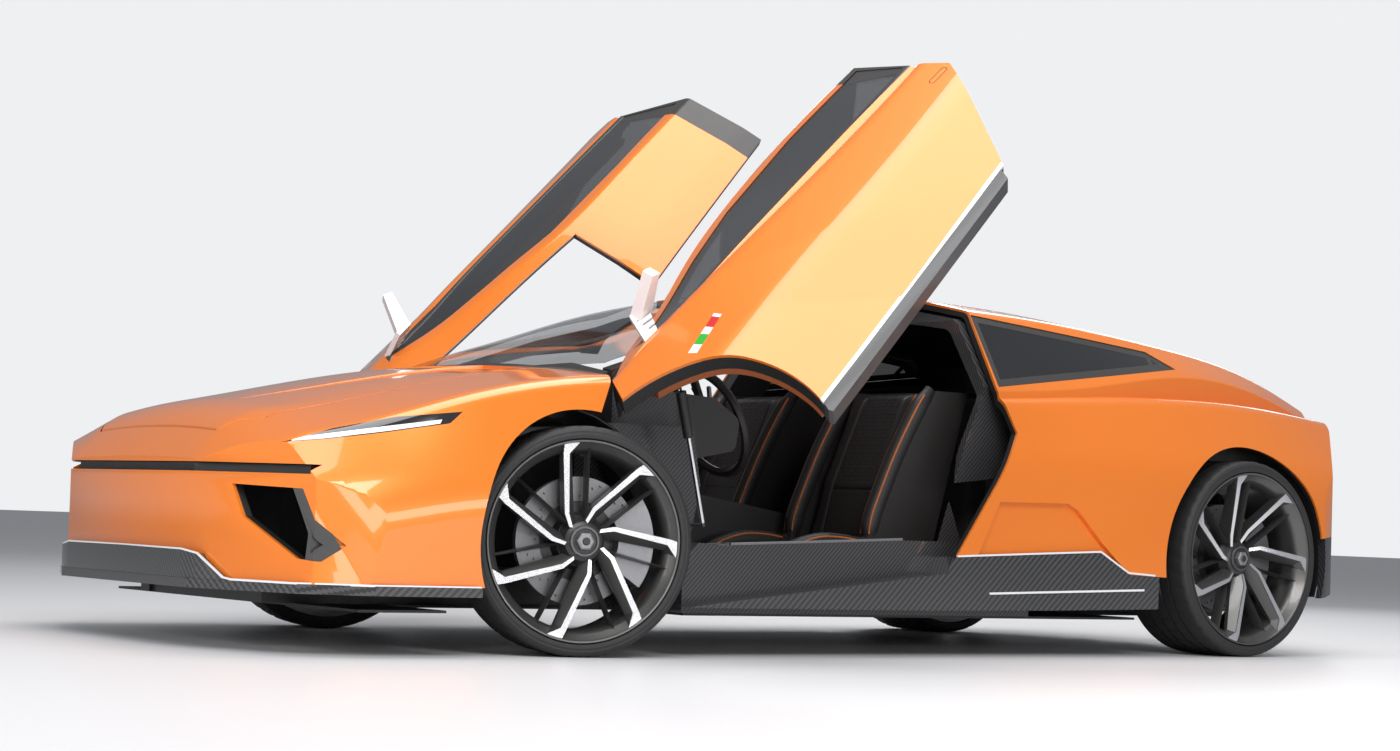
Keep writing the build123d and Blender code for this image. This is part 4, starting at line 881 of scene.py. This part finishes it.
def swollen(base):
    """Pad blown up by cloth under pressure; no point moves further than the cap."""
    scene = bpy.context.scene
    link(base)
    remesh = base.modifiers.new("voxels", "REMESH")
    remesh.mode = "VOXEL"
    remesh.voxel_size = PAD_VOXEL * MM
    data = evaluated_mesh(base)
    scene.collection.objects.unlink(base)
    pad = bpy.data.objects.new("pad", data)
    link(pad)
    before = np.empty(len(data.vertices) * 3)
    data.vertices.foreach_get("co", before)
    after = before.copy()
    cloth = pad.modifiers.new("cloth", "CLOTH")
    cloth.settings.use_pressure = True
    cloth.settings.uniform_pressure_force = 4
    cloth.settings.quality = 2
    cloth.collision_settings.use_collision = False
    cloth.settings.effector_weights.gravity = 0
    for frame_number in range(1, CLOTH_FRAMES + 1):
        scene.frame_set(frame_number)
    shaped = pad.evaluated_get(bpy.context.evaluated_depsgraph_get()).data
    shaped.vertices.foreach_get("co", after)
    pad.modifiers.clear()
    scene.frame_set(1)
    moved = (after - before).reshape(-1, 3)
    length = np.linalg.norm(moved, axis=1, keepdims=True)
    moved *= np.minimum(1, PAD_CAP * MM / np.maximum(length, 1e-9))
    data.vertices.foreach_set("co", before + moved.ravel())
    data.update()
    pad.modifiers.new("smooth", "SUBSURF").levels = 1
    smooth = evaluated_mesh(pad)
    scene.collection.objects.unlink(pad)
    return bpy.data.objects.new("pad", smooth)


def valley(distance, width, depth):
    return depth * math.exp(-(distance / width) ** 2)


def sewn_back(x, y, z):
    """Depth of a backrest's seams: two long ones, one across, and rows of small hexagons."""
    across = abs(y - SEAT_Y)
    depth = valley(across - SEAM_Y, 5, 7) + (valley(z - 540, 5, 6) if across < SEAM_Y else 0)
    low, high = HEXAGON_ROWS
    if across < 96 and low < z < high:
        row, column = (z - low) / HEXAGON_TALL, across / HEXAGON_WIDE
        shift = 0.5 if int(row) % 2 else 0.0
        u, v = (column + shift) % 1 - 0.5, row % 1 - 0.5
        hexagon = max(abs(u), abs(u) * 0.5 + abs(v) * 0.87)
        depth += valley((hexagon - 0.34) * HEXAGON_WIDE, 3.0, 2.2)
    return depth


def sewn_cushion(x, y, z):
    """Depth of a cushion's seams: two long ones and one across."""
    across = abs(y - SEAT_Y)
    return valley(across - SEAM_Y, 5, 6) + (valley(x - 60, 5, 4) if across < SEAM_Y else 0)


def sewn(obj, depth, direction):
    """Presses seams into a pad along a direction."""
    push = Vector(direction).normalized() * MM
    facing = [vertex.normal.dot(push) < -0.35 * MM for vertex in obj.data.vertices]
    for vertex, faces_push in zip(obj.data.vertices, facing):
        if faces_push:
            x, y, z = vertex.co / MM
            vertex.co += push * depth(x, y, z)
    return obj


CUSHION = [(282, 266), (266, 324), (-118, 324), (-160, 242)]
BACKREST = [(-212, 262), (-140, 336), (-198, 560), (-334, 872), (-424, 872)]
PADS = (("seat_pad", CUSHION, sewn_cushion, (0, 0, -1), "seat_cushions"),
        ("backrest_pad", BACKREST, sewn_back, (-0.93, 0, -0.37), "seat_backs"))
for name, outline, seams, direction, node in PADS:
    pad = swollen(side_prism(outline, SEAT_Y - SEAT_HALF, SEAT_Y + SEAT_HALF, 2))
    pads = joined(name, both(sewn(pad, seams, direction)))
    finish_piece(pads, name + "s", "car", LEATHER, [node], SOFT)

# bolsters of the cushion and of the backrest: a line in side view, and where their piping is
BOLSTERS = (
    ([(292, 268), (240, 318), (130, 352), (20, 352), (-70, 338)], (0, PIPING)),
    ([(-95, 352), (-105, 430), (-140, 520), (-205, 660), (-285, 800), (-345, 886)],
     (PIPING * 0.9, PIPING * 0.4)),
)
rolls, piping = [], []
for line, (forward, upward) in BOLSTERS:
    for y, inner in ((SEAT_Y - BOLSTER_Y, 1), (SEAT_Y + BOLSTER_Y, -1)):
        path = smooth_path([(x, y, z) for x, z in line], 8)
        rolls += both(tube(path, 27, 20, 1.25, 0.45))
        for aside in (PIPING, -PIPING):
            seam = [(x + forward, y + inner * aside, z + upward) for x, _, z in path[3:-3]]
            piping += both(tube(seam, 3.2, 8))
bolsters = joined("bolsters", rolls)
finish_piece(bolsters, "seat_bolsters", "car", LEATHER, sharp=SOFT)
finish_piece(joined("piping", piping), "seat_piping", "car", LEATHER_ORANGE, sharp=SOFT)

# -------------------- mirrors
MIRROR_BLADE = [(950, 820), (893, 944), (832, 949), (840, 906), (896, 820)]
slats = [side_prism([(840, z), (896, z + 9), (896, z + 17), (840, z + 8)], 700, 900)
         for z in (850, 874, 898)]
wing_tip = plan_prism([(893, 790), (832, 790), (775, 915), (806, 930)], 905, 945)
blade = fuse(cut(side_prism(MIRROR_BLADE, 782, 800), *slats), wing_tip)
door_pair(cut(blade, OUTER), "mirror_blade", WHITE, ["mirror"])

# -------------------- solids seen as they are
CAD_MATERIALS = (
    (CARBON, "splitter sill_covers door_rocker"), (CARBON_FINE, "tub"),
    (BLACK, "arch_liners undertray steering_column strut_tube nose_grille"),
    (LEATHER, "dashboard console seat_shells rear_shelf steering_wheel"),
    (DARK_METAL, "front_subframe rear_subframe"), (SATIN, "engine upright"),
    (CARPET, "front_trunk"), (GREY_TRIM, "side_intakes"), (CHROME, "strut_rod"),
    (RUBBER, "tyre"), (RIM_GREY, "rim"), (STEEL, "brake_disc"),
)
for material, starts in CAD_MATERIALS:
    for name, node in NODES.items():
        if name.startswith(tuple(starts.split())):
            with_material(node, material)

# -------------------- wheels
SPOKES = 7
SPOKE_TURN = 9.3                # degrees from the top to the first spoke
TYRE_STEPS = 240
GROOVES = (0.22, 0.40, 0.60, 0.78)      # shares of the tread's width
DISC_RADIUS, DISC_BORE, DISC_WIDTH = 190, 118, 32
# boss, ring, hexagonal centre lock and its tip: (radius, height over the hub), steps, material
HUB_PARTS = (
    ([(1, 6), (46, 6), (46, 2), (50, 1), (58, -4), (66, -22), (74, -34), (31, -34), (31, -4),
      (1, -4)], 72, DARK_METAL),
    ([(36, 6), (38, 10), (44, 10), (46, 6)], 72, RIM_GREY),
    ([(12, 22), (22, 22), (27, 19), (28, 5), (12, 5)], 6, SATIN),
    ([(0.5, 25), (9, 25), (12, 22), (12, 5), (0.5, 5)], 40, DARK_METAL),
)


def rim_model(r, width, recess):
    """Seven machined spokes with dark flanks, seven slim dark ones, rim, hub and centre lock."""
    hub_y = -recess - 10
    lip = [(r, -8), (r - 2, -3), (r - 7, -4), (r - 12, -12), (r - 26, -26), (r - 34, -36),
           (r - 38, -60), (r - 40, -120), (r - 30, 8 - width), (r, 8 - width)]
    # spoke seen from outside: left and right edge as shares of the rim radius, then height
    bright = [(0.083, 0.975, -0.083, 0.975, -7), (0.103, 0.882, 0.043, 0.872, -9),
              (0.170, 0.298, 0.126, 0.292, hub_y + 8 + recess * 0.18),
              (0.133, 0.158, 0.098, 0.150, hub_y + 2)]
    flank = [(-0.110, 0.955, -34), (-0.010, 0.860, -46), (0.045, 0.270, hub_y - 34),
             (0.030, 0.100, hub_y - 34)]
    slim = [(-0.197, 0.945, 0.012, -22), (-0.080, 0.289, 0.020, hub_y - 2),
            (-0.075, 0.150, 0.026, hub_y - 6)]
    face, body, ridge = [], [], []
    for (lx, lz, rx, rz, top), (fx, fz, deep) in zip(bright, flank):
        lx, lz, rx, rz, fx, fz = (value * r for value in (lx, lz, rx, rz, fx, fz))
        face.append([(lx, top, lz), (rx, top, rz), (rx, top - 6, rz), (lx, top - 6, lz)])
        body.append([(lx, top - 4, lz), (rx, top - 4, rz), (fx, deep + 8, fz),
                     (fx, deep - 8, fz), (lx, deep - 8, lz)])
    for x, z, half, top in slim:
        left, right, z = (x - half) * r, (x + half) * r, z * r
        ridge.append([(left, top - 16, z), (x * r, top, z), (right, top - 16, z),
                      (right, top - 44, z), (left, top - 44, z)])
    parts = [fix_normals(lathe(lip, 160, RIM_GREY))]
    for turn in range(SPOKES):
        angle = math.radians(turn * 360 / SPOKES + SPOKE_TURN)
        for rows, material in ((face, MACHINED), (body, RIM_GREY), (ridge, RIM_GREY)):
            parts.append(with_material(sections(rows), material))
            parts[-1].data.transform(Matrix.Rotation(angle, 4, "Y"))
    for outline, steps, material in HUB_PARTS:
        profile = [(radius, hub_y + height) for radius, height in outline]
        parts.append(fix_normals(lathe(profile, steps, material)))
    return joined("wheel", parts)


def tyre_model(radius, width, rim_radius):
    """Low-profile tyre: rounded shoulders, rim protector, sidewall rings and cut tread."""
    rr = rim_radius + 0.6
    wall = [(rr, -9), (rr + 3, -2), (rr + 9, -0.6), (rr + 14, -0.5), (rr + 17, -2.2),
            (rr + 21, -2.6), (rr + 24, -2.0), (radius - 12, -4.5), (radius - 6, -9),
            (radius - 2.4, -16), (radius - 0.6, -24)]
    tread = []
    for share in GROOVES:
        y = -24 - (width - 48) * share
        tread += [(radius, y + 5), (radius - 7, y + 3.6), (radius - 7, y - 3.6), (radius, y - 5)]
    profile = wall + tread + [(r, -width - y) for r, y in reversed(wall)]
    tyre = lathe(profile, TYRE_STEPS, RUBBER, TREAD)
    n = len(profile)
    first, last = len(wall) - 2, len(wall) + len(tread)
    for index, polygon in enumerate(tyre.data.polygons):
        if first <= index % n <= last:
            polygon.material_index = 1
    # slanted cuts: every sixth slice of a tread block sinks
    for i in range(TYRE_STEPS):
        for j in range(len(wall) - 3, n - len(wall) + 3):
            r, y = profile[j]
            if (i + int(abs(y + width / 2) / 7)) % 6 == 0 and r > radius - 5:
                v = tyre.data.vertices[i * n + j]
                scale = (r - 2.6) / r
                v.co.x *= scale
                v.co.z *= scale
    return fix_normals(tyre)


def disc_model(recess, disc_y):
    """Drilled brake disc with its bell."""
    hub_y = -(recess + 42.4)
    rim = DISC_RADIUS
    plate = [(DISC_BORE, -disc_y), (rim, -disc_y), (rim, -disc_y - 12), (rim - 6, -disc_y - 12),
             (rim - 6, -disc_y - 20), (rim, -disc_y - 20), (rim, -disc_y - DISC_WIDTH),
             (DISC_BORE, -disc_y - DISC_WIDTH)]
    holes = []
    for turn in range(12):
        for radial, lag in ((132, 0), (146, 7), (160, 14), (174, 21)):
            t = math.radians(turn * 30 + lag)
            hole = circle_points(radial * math.cos(t), radial * math.sin(t), 4.2, 10)
            holes.append(side_prism(hole, -disc_y - 6, -disc_y + 4))
    disc = cut(fix_normals(lathe(plate, 96)), joined("holes", holes))
    bell = [(31, hub_y), (74, hub_y), (86, -disc_y - 2), (119, -disc_y - 4), (119, -disc_y - 12),
            (82, -disc_y - 12), (60, hub_y - 8), (31, hub_y - 8)]
    return joined("disc", [with_material(disc, STEEL), fix_normals(lathe(bell, 72, DARK_METAL))])


# x, y and radius of a wheel, tyre width, rim radius, recess of the hub, y of the disc and of the
# kingpin; the disc is measured from the wheel's outer face
AXLES = {
    "front": (1222, 905, 340, 250, 299, 0, 75, 766),
    "rear": (-1565, 940, 347, 305, 306, 50, 150, 0),
}
for axle, (x, y, radius, width, rim_radius, recess, disc_y, kingpin) in AXLES.items():
    models = (("rim", "rim", rim_model(rim_radius, width, recess)),
              ("tyre", "tyre", tyre_model(radius, width, rim_radius)),
              ("brake_disc", "disc", disc_model(recess, disc_y)))
    for kind, slot, model in models:
        for side, sign in (("left", 1), ("right", -1)):
            data = model.data.copy()
            place = (Matrix.Diagonal((1, sign, 1, 1))
                     @ Matrix.Translation(Vector((x, y, radius)) * MM))
            if axle == "front":
                place = turn_about(Vector((x, sign * kingpin, 0)) * MM, STEER_REST, "Z") @ place
            data.transform(place)
            if side == "right":
                data.flip_normals()
            node = f"{kind}_{axle}_{side}"
            finish_piece(bpy.data.objects.new("wheel", data), node + "_detailed",
                         f"wheel_{axle}_{side}", None, [node], 30)

# -------------------- steering wheel, sill
WHEEL_CENTRE = Vector((430, 370, 735)) * MM
WHEEL_TILT = 24
spokes = []
for angle in (0, math.pi, math.radians(250), math.radians(290)):
    bar = side_prism([(-8, 42), (8, 42), (6, 128), (-6, 128)], -5, 5)
    bar.data.transform(Matrix.Rotation(angle + math.pi / 2, 4, "Y"))
    bar.data.transform(Matrix.Rotation(math.pi / 2, 4, "Z"))
    bar.data.transform(Matrix.Rotation(math.radians(WHEEL_TILT), 4, "Y"))
    bar.data.transform(Matrix.Translation(WHEEL_CENTRE + Vector((-0.010, 0, 0.004))))
    spokes.append(bar)
finish_piece(joined("spokes", spokes), "steering_wheel_spokes", "steering_wheel", SATIN)

# pale satin bar along the sill's top edge: a painted highlight where light catches that edge
swept("sill_edge_painted_highlight", [(640, 786, 343.5), (-60, 786, 375.5)], 4, SATIN)

# -------------------- floor, light, camera
FLOOR_HALF = 60
floor = mesh_object("floor", [(-FLOOR_HALF, -FLOOR_HALF, 0), (FLOOR_HALF, -FLOOR_HALF, 0),
                              (FLOOR_HALF, FLOOR_HALF, 0), (-FLOOR_HALF, FLOOR_HALF, 0)],
                    [(0, 1, 2, 3)])
with_material(floor, shader("floor_pale", (0.70, 0.70, 0.71), 0.42, scale=2, spread=0.03,
                            other=(0.68, 0.68, 0.69)))
link(floor)

# the car is lit by a darker sky than the camera sees
world = bpy.data.worlds.new("studio")
bpy.context.scene.world = world
world.use_nodes = True
sky = world.node_tree
background = feed(sky.nodes["Background"], Color=(0.60, 0.62, 0.66, 1), Strength=0.45)
seen = add_node(sky, "Background", Color=(0.86, 0.87, 0.89, 1), Strength=1.0)
either = add_node(sky, "MixShader", Fac=add_node(sky, "LightPath").outputs["Is Camera Ray"])
sky.links.new(background.outputs[0], either.inputs[1])
sky.links.new(seen.outputs[0], either.inputs[2])
sky.links.new(either.outputs[0], sky.nodes["World Output"].inputs["Surface"])


def area_light(name, place, aim, size, power):
    """Rectangular lamp at a place in metres, turned to its aim."""
    data = bpy.data.lights.new(name, "AREA")
    data.shape = "RECTANGLE"
    data.size, data.size_y = size
    data.energy = power
    lamp = bpy.data.objects.new(name, data)
    lamp.location = place
    lamp.rotation_euler = (Vector(aim) - Vector(place)).to_track_quat("-Z", "Y").to_euler()
    link(lamp)


area_light("key", (3.5, 6.0, 5.5), (0.2, 0.2, 0.6), (6, 3), 420)
area_light("top", (-0.5, 0.5, 6.5), (-0.3, 0, 0.5), (8, 4), 360)
area_light("low_side", (0.5, 8.5, 1.6), (0, 0, 0.5), (9, 1.2), 150)
area_light("back", (-5.5, -4.5, 4.0), (0, 0, 0.7), (5, 3), 160)
area_light("nose", (7.5, 0.5, 2.2), (1.5, 0, 0.5), (5, 2), 130)

YAW, PITCH, ROLL = 0.6351, -0.0542, 0.0363
CAMERA_PLACE = (5.611, 7.341, 0.4168)
camera_data = bpy.data.cameras.new("camera")
camera_data.lens = 68.11
camera_data.sensor_width = 36
camera_data.clip_end = 200
camera = bpy.data.objects.new("camera", camera_data)
forward = Vector((-math.sin(YAW) * math.cos(PITCH), -math.cos(YAW) * math.cos(PITCH),
                  -math.sin(PITCH)))
right = Vector((-math.cos(YAW), math.sin(YAW), 0))
up = right.cross(forward)
right_rolled = math.cos(ROLL) * right + math.sin(ROLL) * up
up_rolled = -math.sin(ROLL) * right + math.cos(ROLL) * up
pose = Matrix((right_rolled, up_rolled, -forward)).transposed().to_4x4()
pose.translation = CAMERA_PLACE
camera.matrix_world = pose
link(camera)
bpy.context.scene.camera = camera

scene = bpy.context.scene
scene.view_settings.view_transform = "Standard"
